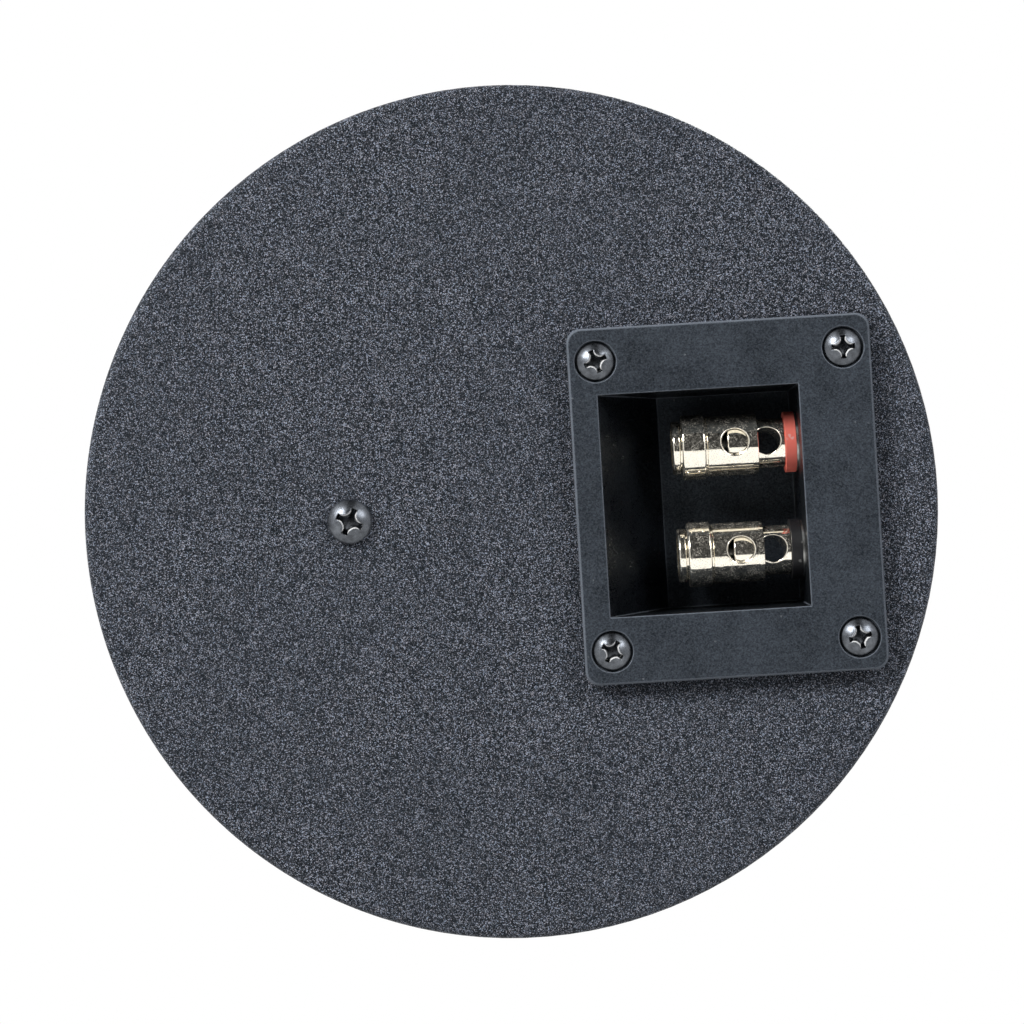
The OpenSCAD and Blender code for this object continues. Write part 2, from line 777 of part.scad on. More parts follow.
module post_spring(side) {
    radius = spring_d / 2;
    rise = spring_len - spring_wire;
    count = floor(spring_turns * spring_steps);
    start = pocket_floor + 0.05 + spring_wire / 2;
    path = [
        for (i = [0:count])
            let (a = 360 * i / spring_steps)
            [radius * cos(a), radius * sin(a), start + rise * i / count]
    ];
    color(spring_colour) in_wall() at_post(side) {
        swept(path, spring_wire / 2, spring_sides, [0, 0, 1]);
    }
}

module insulating_ring(side, tint) {
    color(tint) in_wall() at_post(side) translate([0, 0, washer_t]) {
        tube(ring_d / 2, tail_bore_r, ring_t);
    }
}

module post_washer(side) {
    color(steel_colour) in_wall() at_post(side) tube(washer_d / 2, tail_bore_r, washer_t);
}

// Shoulder screw: its stem is screwed into the post and its head stops the sleeve
module stem_screw(side) {
    head_z = web_at + web_t + 0.05;
    color(steel_colour) in_wall() at_post(side) difference() {
        union() {
            translate([0, 0, pocket_floor]) cylinder(d = stem_d, h = head_z - pocket_floor);
            translate([0, 0, pocket_floor - 2.3]) cylinder(d = stem_d - 1, h = 2.4);
            translate([0, 0, head_z]) cylinder(d = stem_head_d, h = stem_head_t);
        }
        translate([0, 0, head_z + stem_head_t]) {
            cube([stem_head_d + 1, 0.9, 1.4], center = true);
        }
    }
}

module solder_tag(side) {
    tag_w = 3;
    color(steel_colour) in_wall() at_post(side) translate([0, 0, -cup_wall - tag_t]) {
        difference() {
            union() {
                cylinder(d = nut_af + 1.4, h = tag_t);
                translate([-tag_len, -tag_w / 2, 0]) cube([tag_len, tag_w, tag_t]);
            }
            translate([0, 0, -1]) cylinder(r = tail_bore_r, h = 3);
        }
    }
}

module tail_nut(side) {
    color(steel_colour) in_wall() at_post(side) translate([0, 0, -cup_wall - tag_t - nut_t]) {
        hex_nut(nut_af, nut_t, tail_d / 2 + 0.02);
    }
}

module red_post() post(0);
module black_post() post(1);
module red_sleeve() sleeve(0);
module black_sleeve() sleeve(1);
module red_spring() post_spring(0);
module black_spring() post_spring(1);
module red_ring() insulating_ring(0, red_colour);
module black_ring() insulating_ring(1, black_colour);
module red_washer() post_washer(0);
module black_washer() post_washer(1);
module red_stem_screw() stem_screw(0);
module black_stem_screw() stem_screw(1);
module red_tag() solder_tag(0);
module black_tag() solder_tag(1);
module red_nut() tail_nut(0);
module black_nut() tail_nut(1);

// Crossover

module crossover_board() color([0.12, 0.3, 0.2]) in_wall() difference() {
    translate([board_left, -board_h / 2, board_front]) cube([board_w, board_h, board_t]);
    translate([-board_screw_x, -board_screw_y, board_front - 1]) {
        cylinder(d = board_screw_d + 2 * fit_gap, h = board_t + 2);
    }
}

module board_spacer() color([0.85, 0.84, 0.8]) in_wall() {
    translate([-board_screw_x, -board_screw_y, board_back]) {
        tube(spacer_d / 2, board_screw_d / 2 + fit_gap, spacer_len);
    }
}

module board_nut() color(steel_colour) in_wall() {
    translate([-board_screw_x, -board_screw_y, board_front - board_nut_t]) {
        hex_nut(board_nut_af, board_nut_t, board_screw_d / 2 + 0.02);
    }
}

module board_pad() color(foam_colour) in_wall() {
    translate([board_left + 2, -pad_h / 2, board_back]) cube([pad_w, pad_h, spacer_len]);
}

module inductor_bobbin() color([0.1, 0.1, 0.1]) in_wall() {
    translate([inductor_x, inductor_y, board_front - inductor_len]) {
        tube(inductor_d / 2, core_r - 2.5, bobbin_flange);
        tube(core_r, core_r - 2.5, inductor_len);
        translate([0, 0, inductor_len - bobbin_flange]) {
            tube(inductor_d / 2, core_r - 2.5, bobbin_flange);
        }
    }
}

module inductor_coil() color([0.72, 0.4, 0.2]) in_wall() {
    translate([inductor_x, inductor_y, board_front - inductor_len + bobbin_flange]) {
        tube(inductor_d / 2 - 1, core_r, inductor_len - 2 * bobbin_flange);
    }
}

// Axial part that lies on the board's front, with its two bent legs
module axial_part(x, y, d, l) {
    translate([x, y, board_front - d / 2]) {
        rotate([0, 90, 0]) cylinder(d = d, h = l, center = true);
        rotate([0, 90, 0]) cylinder(d = leg_d, h = l + 2 * leg_out, center = true);
        for (sx = [-1, 1]) {
            translate([sx * (l / 2 + leg_out), 0, 0]) cylinder(d = leg_d, h = d / 2);
        }
    }
}

module woofer_capacitor() color([0.15, 0.16, 0.2]) in_wall() {
    axial_part(woofer_cap_x, woofer_cap_y, woofer_cap_d, woofer_cap_len);
}

module tweeter_capacitor() color([0.7, 0.62, 0.3]) in_wall() {
    axial_part(tweeter_cap_x, tweeter_cap_y, tweeter_cap_d, tweeter_cap_len);
}

module resistor() color([0.86, 0.85, 0.8]) in_wall() {
    translate([resistor_x, resistor_y, board_front - resistor_h]) {
        cube([resistor_w, resistor_h, resistor_h]);
    }
}

// Leads

module red_lead() color(red_colour) in_wall() {
    swept(smooth(red_route, 3), input_lead_d / 2, 8, [0, 1, 0]);
}

module black_lead() color(black_colour) in_wall() {
    swept(smooth(black_route, 3), input_lead_d / 2, 8, [0, 1, 0]);
}

module woofer_lead() color([0.5, 0.5, 0.52]) in_wall() {
    swept(smooth(woofer_route, 2), driver_lead_d / 2, 8, [1, 0, 0]);
}

module tweeter_lead() color([0.3, 0.3, 0.32]) in_wall() {
    swept(smooth(tweeter_route, 2), driver_lead_d / 2, 8, [0, 1, 0]);
}

module damping_pad() color([0.85, 0.85, 0.82]) in_wall() {
    start = well_depth + 7;
    translate([0, 0, start]) tube(wadding_outer_r, wadding_inner_r, rear_inside - 2 - start);
}

// Woofer

module driver_basket() color([0.12, 0.12, 0.13]) in_wall() {
    window_count = 6;
    window_w = 22;
    window_h = 8.2;
    neck_z = basket_front + basket_t;
    difference() {
        rotate_extrude() polygon([
            [basket_hole_r, basket_front], [basket_r, basket_front], [basket_r, neck_z],
            [basket_hole_r + 1, neck_z], [basket_hole_r + 0.4, neck_z + 4],
            [landing_r + 0.7, landing_z + basket_t], [floor_outer_r, landing_z + basket_t],
            [floor_outer_r, basket_back], [floor_inner_r, basket_back],
            [floor_inner_r, basket_back - basket_t], [floor_outer_r - basket_t, basket_back - basket_t],
            [floor_outer_r - basket_t, landing_z], [landing_r, landing_z],
            [basket_hole_r - 1, neck_z + 3]
        ]);
        for (i = [0:window_count - 1]) {
            rotate([0, 0, 30 + i * 360 / window_count]) {
                translate([landing_r + 1.5, -window_w / 2, neck_z + 5]) {
                    cube([through, window_w, window_h]);
                }
            }
        }
        ring_of(4, woofer_screw_at, 45) cylinder(r = driver_screw_d / 2 + fit_gap, h = 10);
        ring_of(2, woofer_screw_at, 0) cylinder(r = driver_screw_d / 2 + fit_gap, h = 10);
        translate([lead_hole[0], lead_hole[1], 0]) cylinder(d = driver_lead_d + 1, h = 8);
    }
}

module top_plate() color(steel_colour) in_wall() {
    translate([0, 0, plate_z]) tube(motor_r, gap_outer_r, top_plate_t);
}

module magnet() color([0.22, 0.22, 0.23]) in_wall() {
    translate([0, 0, magnet_z]) tube(magnet_d / 2, magnet_inner_r, magnet_t);
}

module pole_yoke() color(steel_colour) in_wall() {
    pole_front = plate_z - 0.5;
    difference() {
        union() {
            translate([0, 0, yoke_z]) cylinder(r = motor_r, h = yoke_t);
            translate([0, 0, pole_front]) cylinder(r = gap_inner_r, h = yoke_z - pole_front + 1);
        }
        translate([0, 0, pole_front - 1]) cylinder(r = 4, h = through);
    }
}

module voice_coil() color([0.75, 0.45, 0.22]) in_wall() {
    translate([0, 0, former_front]) tube(former_outer_r, former_d / 2, former_len);
    translate([0, 0, winding_z]) {
        tube(former_outer_r + winding_t, former_outer_r - 0.05, winding_len);
    }
}

// Depth of the cone's front face behind its rim, at a radius
function cone_z(r) =
    let (t = (cone_r - cone_lip - r) / (cone_r - cone_lip - cone_neck_r))
    cone_rim_z + cone_deep * (0.75 * t + 0.25 * t * t);

module cone() color([0.09, 0.09, 0.1]) in_wall() {
    steps = 7;
    lip_r = cone_r - cone_lip;
    radii = [for (i = [0:steps]) lip_r + (cone_neck_r - lip_r) * i / steps];
    front = [for (r = radii) [r, cone_z(r)]];
    back = [for (i = [steps:-1:0]) [radii[i], cone_z(radii[i]) + cone_t]];
    rotate_extrude() polygon(concat(
        [[cone_r, cone_rim_z]], front, back, [[cone_r, cone_rim_z + cone_t]]
    ));
}

module dust_cap() color([0.1, 0.1, 0.11]) in_wall() {
    cap_r = dust_cap_d / 2;
    cap_t = 0.6;
    base_z = cone_z(cap_r) - 0.25;
    dome_r = (pow(cap_r, 2) + pow(dust_rise, 2)) / (2 * dust_rise);
    centre_z = base_z - dust_rise + dome_r;
    intersection() {
        translate([0, 0, base_z - dust_rise - 1]) cylinder(r = cap_r, h = dust_rise + 1);
        difference() {
            translate([0, 0, centre_z]) sphere(r = dome_r);
            translate([0, 0, centre_z]) sphere(r = dome_r - cap_t);
        }
    }
}

module spider() color([0.78, 0.66, 0.42]) in_wall() {
    sheet = 0.5;
    waves = 4;
    steps = 6;
    inner_r = spider_inner_r + 1.2;
    outer_r = floor_outer_r - 0.6;
    height = 1.1;
    count = waves * steps;
    mid = [
        for (i = [0:count])
            [inner_r + (outer_r - inner_r) * i / count,
                landing_z - sheet - height * (1 - cos(360 * i / steps)) / 2]
    ];
    rotate_extrude() polygon(concat(
        [[spider_inner_r, landing_z - sheet]], mid,
        [[landing_r - 0.6, landing_z - sheet], [landing_r - 0.6, landing_z]],
        [for (i = [count:-1:0]) mid[i] + [0, sheet]],
        [[spider_inner_r, landing_z]]
    ));
}

module surround() color([0.07, 0.07, 0.07]) in_wall() {
    base_z = basket_front - surround_t;
    half = surround_t / 2;
    rotate_extrude() polygon(concat(
        [[cone_r - cone_lip + 0.3, base_z], [roll_mid_r - roll_r - half, base_z]],
        arc(roll_mid_r, base_z, roll_r + half, 180, 360, 12),
        [[surround_r, base_z], [surround_r, basket_front]],
        [[roll_mid_r + roll_r - half, basket_front]],
        arc(roll_mid_r, base_z, roll_r - half, 360, 180, 12),
        [[roll_mid_r - roll_r + half, basket_front], [cone_r - cone_lip + 0.3, basket_front]]
    ));
}

module woofer_terminal() color([0.45, 0.28, 0.16]) in_wall() {
    rotate([0, 0, 240]) translate([floor_outer_r + 0.3, -7, landing_z + basket_t]) {
        cube([5, 14, 1.6]);
    }
}

module driver_gasket() color(foam_colour) in_wall() difference() {
    translate([0, 0, gasket_front]) tube(basket_r, well_hole_r, woofer_gasket_t);
    ring_of(4, woofer_screw_at, 45) cylinder(r = driver_screw_d / 2 + fit_gap, h = 10);
    ring_of(2, woofer_screw_at, 0) cylinder(r = driver_screw_d / 2 + fit_gap, h = 10);
    translate([lead_hole[0], lead_hole[1], 0]) cylinder(d = driver_lead_d + 1, h = 8);
}

module driver_screws() color(screw_colour) in_wall() {
    ring_of(4, woofer_screw_at, 45) translate([0, 0, basket_front]) rotate([180, 0, 0]) {
        pan_screw(driver_screw_head, driver_screw_head_h, driver_screw_d, driver_screw_len, 10);
    }
}

// Tweeter

module tweeter_bridge() color([0.1, 0.1, 0.11]) in_wall() difference() {
    union() {
        translate([-bridge_leg_r, -bridge_w / 2, bridge_front]) {
            cube([2 * bridge_leg_r, bridge_w, bridge_t]);
        }
        translate([0, 0, bridge_front]) cylinder(r = bridge_hub_r, h = bridge_t);
        for (a = [0, 180]) {
            rotate([0, 0, a]) {
                translate([bridge_leg_r - bridge_t, -bridge_w / 2, bridge_front]) {
                    cube([bridge_t, bridge_w, bridge_foot_front + bridge_foot_t - bridge_front]);
                }
                translate([bridge_leg_r - bridge_t, -bridge_w / 2, bridge_foot_front]) {
                    cube([bridge_foot_r - bridge_leg_r + bridge_t, bridge_w, bridge_foot_t]);
                }
            }
        }
    }
    cylinder(r = horn_r, h = through, center = true);
    ring_of(2, woofer_screw_at, 0) {
        cylinder(r = driver_screw_d / 2 + fit_gap, h = through, center = true);
    }
}

module tweeter_body() color([0.16, 0.16, 0.17]) in_wall() difference() {
    translate([0, 0, bridge_back]) cylinder(d = tweeter_d, h = tweeter_depth);
    translate([0, 0, bridge_back - 1]) cylinder(r = horn_r, h = 1.8);
}

module tweeter_dome() color([0.55, 0.56, 0.58]) in_wall() {
    base_z = bridge_back + 0.8;
    dome_r = (pow(dome_d / 2, 2) + pow(dome_rise, 2)) / (2 * dome_rise);
    intersection() {
        translate([0, 0, base_z - dome_rise]) cylinder(d = dome_d, h = dome_rise);
        translate([0, 0, base_z - dome_rise + dome_r]) sphere(r = dome_r);
    }
}

module bridge_screws() color(screw_colour) in_wall() {
    ring_of(2, woofer_screw_at, 0) translate([0, 0, bridge_foot_front]) rotate([180, 0, 0]) {
        pan_screw(driver_screw_head, driver_screw_head_h, driver_screw_d, bridge_screw_len, 10);
    }
}

// Flange and grille

module front_baffle() color(flange_colour) in_wall() difference() {
    union() {
        rotate_extrude() polygon([
            [well_inner_r, flange_front], [rim_inner_r, flange_front], [rim_inner_r, rim_front],
            [flange_r - 1, rim_front], [flange_r, rim_front + 1], [flange_r, 0],
            [can_seat_r, 0], [can_seat_r, -can_seat_sink], [well_outer_r, -can_seat_sink],
            [well_outer_r, well_depth], [well_hole_r, well_depth],
            [well_hole_r, well_floor_front], [well_inner_r, well_floor_front]
        ]);
        ring_of(grille_magnet_count, grille_magnet_at, 15) {
            translate([0, 0, grille_back]) {
                cylinder(d = grille_magnet_d + 2.6, h = grille_stand + 1);
            }
        }
    }
    ring_of(grille_magnet_count, grille_magnet_at, 15) {
        translate([0, 0, grille_back - 1]) cylinder(d = grille_magnet_d, h = grille_magnet_t + 1);
    }
    ring_of(wall_bolt_count, wall_bolt_at, 0) {
        cylinder(d = wall_bolt_hole, h = through, center = true);
        translate([0, 0, flange_front - 1]) cylinder(d = wall_bolt_head, h = wall_bolt_sink + 1);
    }
    ring_of(can_screw_count, can_screw_at, 30) {
        cylinder(r = can_screw_d / 2 + fit_gap, h = through, center = true);
    }
    ring_of(4, woofer_screw_at, 45) cylinder(d = driver_screw_d, h = through);
    ring_of(2, woofer_screw_at, 0) cylinder(d = driver_screw_d, h = through);
    translate([lead_hole[0], lead_hole[1], 0]) cylinder(d = driver_lead_d + 1, h = 12);
}

module can_gasket() color(foam_colour) in_wall() difference() {
    translate([0, 0, -can_seat_sink]) tube(can_r - 0.6, lip_inner_r, can_gasket_t);
    ring_of(can_screw_count, can_screw_at, 30) {
        cylinder(r = can_screw_d / 2 + fit_gap, h = 5, center = true);
    }
}

module can_screws() color(screw_colour) in_wall() {
    ring_of(can_screw_count, can_screw_at, 30) {
        translate([0, 0, flange_front]) rotate([180, 0, 0]) {
            pan_screw(can_screw_head, can_screw_head_h, can_screw_d - 0.02, can_screw_len, 40);
        }
    }
}

module grille() color(flange_colour) in_wall() {
    translate([0, 0, grille_back - grille_t]) cylinder(r = grille_r, h = grille_t);
    translate([0, 0, grille_back - 0.1]) {
        tube(grille_r, grille_r - grille_t, grille_fold + 0.1);
    }
}

module grille_magnets() color(steel_colour) in_wall() {
    ring_of(grille_magnet_count, grille_magnet_at, 15) {
        translate([0, 0, grille_back]) cylinder(d = grille_magnet_d, h = grille_magnet_t);
    }
}

back_can();
terminal_cup();
cup_gasket();
cup_screws();
board_screw();
red_post();
black_post();
red_sleeve();
black_sleeve();
red_spring();
black_spring();
red_ring();
black_ring();
red_washer();
black_washer();
red_stem_screw();
black_stem_screw();
red_tag();
black_tag();
red_nut();
black_nut();
crossover_board();
board_spacer();
board_nut();
board_pad();
inductor_bobbin();
inductor_coil();
woofer_capacitor();
tweeter_capacitor();
resistor();
red_lead();
black_lead();
woofer_lead();
tweeter_lead();
damping_pad();
driver_basket();
top_plate();
magnet();
pole_yoke();
voice_coil();
cone();
dust_cap();
spider();
surround();
woofer_terminal();
driver_gasket();
driver_screws();
tweeter_bridge();
tweeter_body();
tweeter_dome();
bridge_screws();
front_baffle();
can_gasket();
can_screws();
grille();
grille_magnets();
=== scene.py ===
"""Looks of a round in-wall speaker, seen from the sealed can at its rear.

The packed solids are the frame. Each gets its finish here, and the rear screws, the turned
posts and sleeves, the springs, leads, wadding, woofer suspension and grille are built finer
than the solids they stand for. Lengths are in millimetres until a matrix turns them into
metres; the rear of the can faces -Y.
"""

import math

import bmesh
import bpy
import numpy as np
from bpy.props import FloatProperty, FloatVectorProperty, IntProperty, PointerProperty
from mathutils import Matrix, Vector
from mathutils.geometry import delaunay_2d_cdt


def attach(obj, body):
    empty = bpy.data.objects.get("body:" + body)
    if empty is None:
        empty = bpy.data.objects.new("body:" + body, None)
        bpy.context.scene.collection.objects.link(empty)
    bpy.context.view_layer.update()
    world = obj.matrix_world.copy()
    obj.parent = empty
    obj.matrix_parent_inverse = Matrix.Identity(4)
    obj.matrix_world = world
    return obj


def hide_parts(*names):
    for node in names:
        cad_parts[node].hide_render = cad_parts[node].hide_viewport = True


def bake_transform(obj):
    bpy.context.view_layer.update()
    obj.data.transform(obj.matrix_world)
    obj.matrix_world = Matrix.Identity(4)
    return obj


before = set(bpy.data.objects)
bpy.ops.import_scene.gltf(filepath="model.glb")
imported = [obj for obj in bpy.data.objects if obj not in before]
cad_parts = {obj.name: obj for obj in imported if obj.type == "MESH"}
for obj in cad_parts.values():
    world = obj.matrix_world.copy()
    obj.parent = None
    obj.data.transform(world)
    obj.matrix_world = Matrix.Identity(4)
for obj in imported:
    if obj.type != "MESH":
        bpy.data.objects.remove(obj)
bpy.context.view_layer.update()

bl_info = {
    "name": "In-wall speaker",
    "version": (1, 0, 0),
    "blender": (4, 5, 0),
    "location": "3D View > Sidebar > Speaker",
    "description": "Finishes, fine pieces and studio for a round in-wall speaker",
    "category": "Object",
}

MM = 0.001
SPEAKER, CONE_BODY = "speaker", "cone_assembly"

# Places on the bench, in millimetres: x to the right, y up, z from the flange's back to the rear
CAN_DEPTH = 95
BOARD_SCREW = (-30.3, -1.9)
BOARD_SCREW_TURN = 67

# The cup, measured from its own centre; a screw is its side, its row and its turn in degrees
CUP_CENTRE = (40.35, 2.3)
CUP_TURN = math.radians(3.4)
CUP_PLATE_FRONT = 3.6
CUP_SINK = 1.1
CUP_SCREW_DX, CUP_SCREW_DY = 46.3, 54.2
CUP_SCREW_TURNS = ((-1, 1, 20), (1, 1, 0), (-1, -1, -33), (1, -1, 12))

# The posts, measured along their axes from the cup's wall
OPENING_RIGHT = 14.45
POST_UP = {"red": 10.2, "black": -10.2}
POST_DROP = 8.5
POST_REACH = 13.4
POST_HOLE_AT = 5.9
SLEEVE_AT = 7.6
SLEEVE_TIP = SLEEVE_AT + 16.2
SLEEVE_WEB = 18.5
SLEEVE_HOLE_AT = SLEEVE_AT + 4.4
WIRE_HOLE_R = 2.52
WIRE_HOLE_RIM = 0.32
WIRE_HOLE_CLOCK = math.radians(6.5)
SPRING_FLOOR = 11.35
SPRING_TOP = 18.4

# The grille
GRILLE_BACK = -8
GRILLE_R = 88.4
GRILLE_T = 0.8
GRILLE_FOLD = 2.6
ROW_STEP = 0.8660254  # from one row of holes to the next, as a share of the pitch

# The camera, from the can's axis
CAMERA_RIGHT, CAMERA_UP = 0.115, -0.084

# How far a screw's recess reaches from its centre, as a share of the head's diameter
RECESS_REACH = 0.31


def bench_matrix():
    """Bench millimetres to row metres."""
    return Matrix(((MM, 0, 0, 0), (0, 0, -MM, 0), (0, MM, 0, 0), (0, 0, 0, 1)))


def cup_matrix():
    """Cup axes, with z = 0 on the can's rear face, to row metres."""
    at = Matrix.Translation((*CUP_CENTRE, CAN_DEPTH))
    return bench_matrix() @ at @ Matrix.Rotation(CUP_TURN, 4, "Z")


def post_matrix(side):
    """A post's axes, with z = 0 at the cup's wall and +z towards the tip, to row metres."""
    at = Matrix.Translation((OPENING_RIGHT, POST_UP[side], -POST_DROP))
    return cup_matrix() @ at @ Matrix.Rotation(-math.pi / 2, 4, "Y")


class CanLooks(bpy.types.PropertyGroup):
    """Sand-textured paint of the can."""

    paint: FloatVectorProperty(
        name="Paint",
        description="Colour of the can's paint",
        subtype="COLOR",
        size=3,
        default=(0.042, 0.0495, 0.065),
    )
    grain: FloatProperty(
        name="Grain",
        description="Size of a grain in the paint",
        unit="LENGTH",
        default=0.00015,
        min=0.0001,
    )
    relief: FloatProperty(
        name="Relief",
        description="Height of the grains",
        unit="LENGTH",
        default=0.00006,
        min=0,
    )


class CupLooks(bpy.types.PropertyGroup):
    """Moulded plastic of the terminal cup and the rings on its posts."""

    plastic: FloatVectorProperty(
        name="Plastic",
        description="Colour of the moulded cup",
        subtype="COLOR",
        size=3,
        default=(0.0105, 0.0125, 0.0165),
    )
    edge_radius: FloatProperty(
        name="Edge radius",
        description="Small radius that the mould leaves on each edge",
        unit="LENGTH",
        default=0.00045,
        min=0,
    )
    red_ring: FloatVectorProperty(
        name="Red ring",
        description="Colour of the positive post's ring",
        subtype="COLOR",
        size=3,
        default=(0.97, 0.205, 0.155),
    )


class MetalLooks(bpy.types.PropertyGroup):
    """Plated posts and blackened screws."""

    gold: FloatVectorProperty(
        name="Gold",
        description="Colour of the thin pale gold plating",
        subtype="COLOR",
        size=3,
        default=(0.95, 0.9, 0.79),
    )
    gold_roughness: FloatProperty(
        name="Gold roughness", description="Blur of the gold's reflections", default=0.06, min=0, max=1
    )
    screw: FloatVectorProperty(
        name="Screw",
        description="Colour of the blackened screws",
        subtype="COLOR",
        size=3,
        default=(0.11, 0.119, 0.134),
    )
    screw_roughness: FloatProperty(
        name="Screw roughness", description="Blur of the screws' reflections", default=0.27, min=0, max=1
    )


class ScrewSizes(bpy.types.PropertyGroup):
    """Heads of the cross-recess screws that show at the rear."""

    cup_head: FloatProperty(
        name="Cup screw head", description="Head diameter", unit="LENGTH", default=0.00705
    )
    cup_head_height: FloatProperty(
        name="Cup screw height", description="Head height", unit="LENGTH", default=0.0025
    )
    board_head: FloatProperty(
        name="Board screw head", description="Head diameter", unit="LENGTH", default=0.0083
    )
    board_head_height: FloatProperty(
        name="Board screw height", description="Head height", unit="LENGTH", default=0.0029
    )
    segments: IntProperty(
        name="Segments", description="Points round a head", default=204, min=24
    )


class GrilleSizes(bpy.types.PropertyGroup):
    """Perforated steel grille at the front."""

    hole: FloatProperty(
        name="Hole", description="Diameter of a hole", unit="LENGTH", default=0.0019
    )
    pitch: FloatProperty(
        name="Pitch", description="Distance between holes", unit="LENGTH", default=0.003
    )
    border: FloatProperty(
        name="Border", description="Plain width at the edge", unit="LENGTH", default=0.0034
    )


class StudioSetup(bpy.types.PropertyGroup):
    """Camera, lamps and floor."""

    distance: FloatProperty(
        name="Distance", description="Camera to the rear face", unit="LENGTH", default=0.64
    )
    lens: FloatProperty(
        name="Lens", description="Focal length on a 36 mm sensor", subtype="DISTANCE_CAMERA", default=119.9
    )
    left_power: FloatProperty(
        name="Left lamp", description="Power of the upper left softbox", subtype="POWER", default=25
    )
    right_power: FloatProperty(
        name="Right lamp", description="Power of the upper right softbox", subtype="POWER", default=10
    )
    front_power: FloatProperty(
        name="Front lamp",
        description="Power of the softbox that lights the grille",
        subtype="POWER",
        default=22,
    )
    fill: FloatProperty(
        name="Fill", description="Strength of the soft light from all round", default=0.08, min=0
    )


class Finish:
    """A node material, with short calls for the nodes that these finishes need."""

    def __init__(self, name):
        self.material = bpy.data.materials.new(name)
        self.material.use_nodes = True
        self.tree = self.material.node_tree
        self.shader = self.tree.nodes["Principled BSDF"]
        self.place = self.tree.nodes.new("ShaderNodeTexCoord").outputs["Object"]

    def node(self, kind, **settings):
        made = self.tree.nodes.new("ShaderNode" + kind)
        for key, value in settings.items():
            setattr(made, key, value)
        return made

    def link(self, source, target):
        self.tree.links.new(source, target)

    def set(self, **values):
        for key, value in values.items():
            socket = self.shader.inputs[key.replace("_", " ")]
            socket.default_value = (*value, 1) if isinstance(value, tuple) else value
        return self

    def drive(self, socket, source):
        self.link(source, self.shader.inputs[socket])

    def noise(self, size, detail=2.0, roughness=0.5, stretch=None):
        made = self.node("TexNoise")
        made.inputs["Scale"].default_value = 1 / size
        made.inputs["Detail"].default_value = detail
        made.inputs["Roughness"].default_value = roughness
        self.link(self.stretched(stretch), made.inputs["Vector"])
        return made.outputs["Fac"]

    def stretched(self, stretch):
        if stretch is None:
            return self.place
        made = self.node("Mapping")
        made.inputs["Scale"].default_value = stretch
        self.link(self.place, made.inputs["Vector"])
        return made.outputs["Vector"]

    def cells(self, size):
        """A random grey for each small cell."""
        made = self.node("TexVoronoi")
        made.inputs["Scale"].default_value = 1 / size
        self.link(self.place, made.inputs["Vector"])
        split = self.node("SeparateColor")
        self.link(made.outputs["Color"], split.inputs["Color"])
        return split.outputs["Red"], made.outputs["Distance"]

    def band(self, source, low, high, at_low=0.0, at_high=1.0):
        made = self.node("MapRange")
        for key, value in (("From Min", low), ("From Max", high), ("To Min", at_low), ("To Max", at_high)):
            made.inputs[key].default_value = value
        self.link(source, made.inputs["Value"])
        return made.outputs["Result"]

    def sum_of(self, first, second, operation="ADD"):
        made = self.node("Math", operation=operation)
        self.link(first, made.inputs[0])
        if isinstance(second, (int, float)):
            made.inputs[1].default_value = second
        else:
            self.link(second, made.inputs[1])
        return made.outputs["Value"]

    def mix(self, share, first, second):
        """Colours, or colour outputs, mixed by a share."""
        made = self.node("Mix", data_type="RGBA")
        if isinstance(share, float):
            made.inputs["Factor"].default_value = share
        else:
            self.link(share, made.inputs["Factor"])
        for socket, value in ((made.inputs[6], first), (made.inputs[7], second)):
            if isinstance(value, tuple):
                socket.default_value = (*value, 1)
            else:
                self.link(value, socket)
        return made.outputs[2]

    def tones(self, source, low, high, colour, darker, lighter):
        """A colour that goes from a darker to a lighter shade as the source rises."""
        return self.mix(self.band(source, low, high), shade(colour, darker), shade(colour, lighter))

    def bump(self, height, depth, after=None):
        made = self.node("Bump")
        made.inputs["Distance"].default_value = depth
        made.inputs["Strength"].default_value = 1
        self.link(height, made.inputs["Height"])
        if after is not None:
            self.link(after, made.inputs["Normal"])
        return made.outputs["Normal"]

    def soft_edges(self, radius):
        made = self.node("Bevel", samples=6)
        made.inputs["Radius"].default_value = radius
        return made.outputs["Normal"]

    def along(self, axis):
        """How squarely a face looks along an axis, either way, from 0 to 1."""
        lean = self.node("VectorMath", operation="DOT_PRODUCT")
        self.link(self.node("NewGeometry").outputs["True Normal"], lean.inputs[0])
        lean.inputs[1].default_value = axis
        size = self.node("Math", operation="ABSOLUTE")
        self.link(lean.outputs["Value"], size.inputs[0])
        return size.outputs["Value"]

    def turned_away(self, soft):
        """How far a softened normal leans away from the face's own, 0 off the edges."""
        faces = self.node("NewGeometry").outputs["Normal"]
        lean = self.node("VectorMath", operation="DOT_PRODUCT")
        self.link(soft, lean.inputs[0])
        self.link(faces, lean.inputs[1])
        rest = self.node("Math", operation="SUBTRACT")
        rest.inputs[0].default_value = 1
        self.link(lean.outputs["Value"], rest.inputs[1])
        return rest.outputs["Value"]


def shade(colour, factor):
    """A colour made lighter or darker."""
    return tuple(min(1.0, channel * factor) for channel in colour)


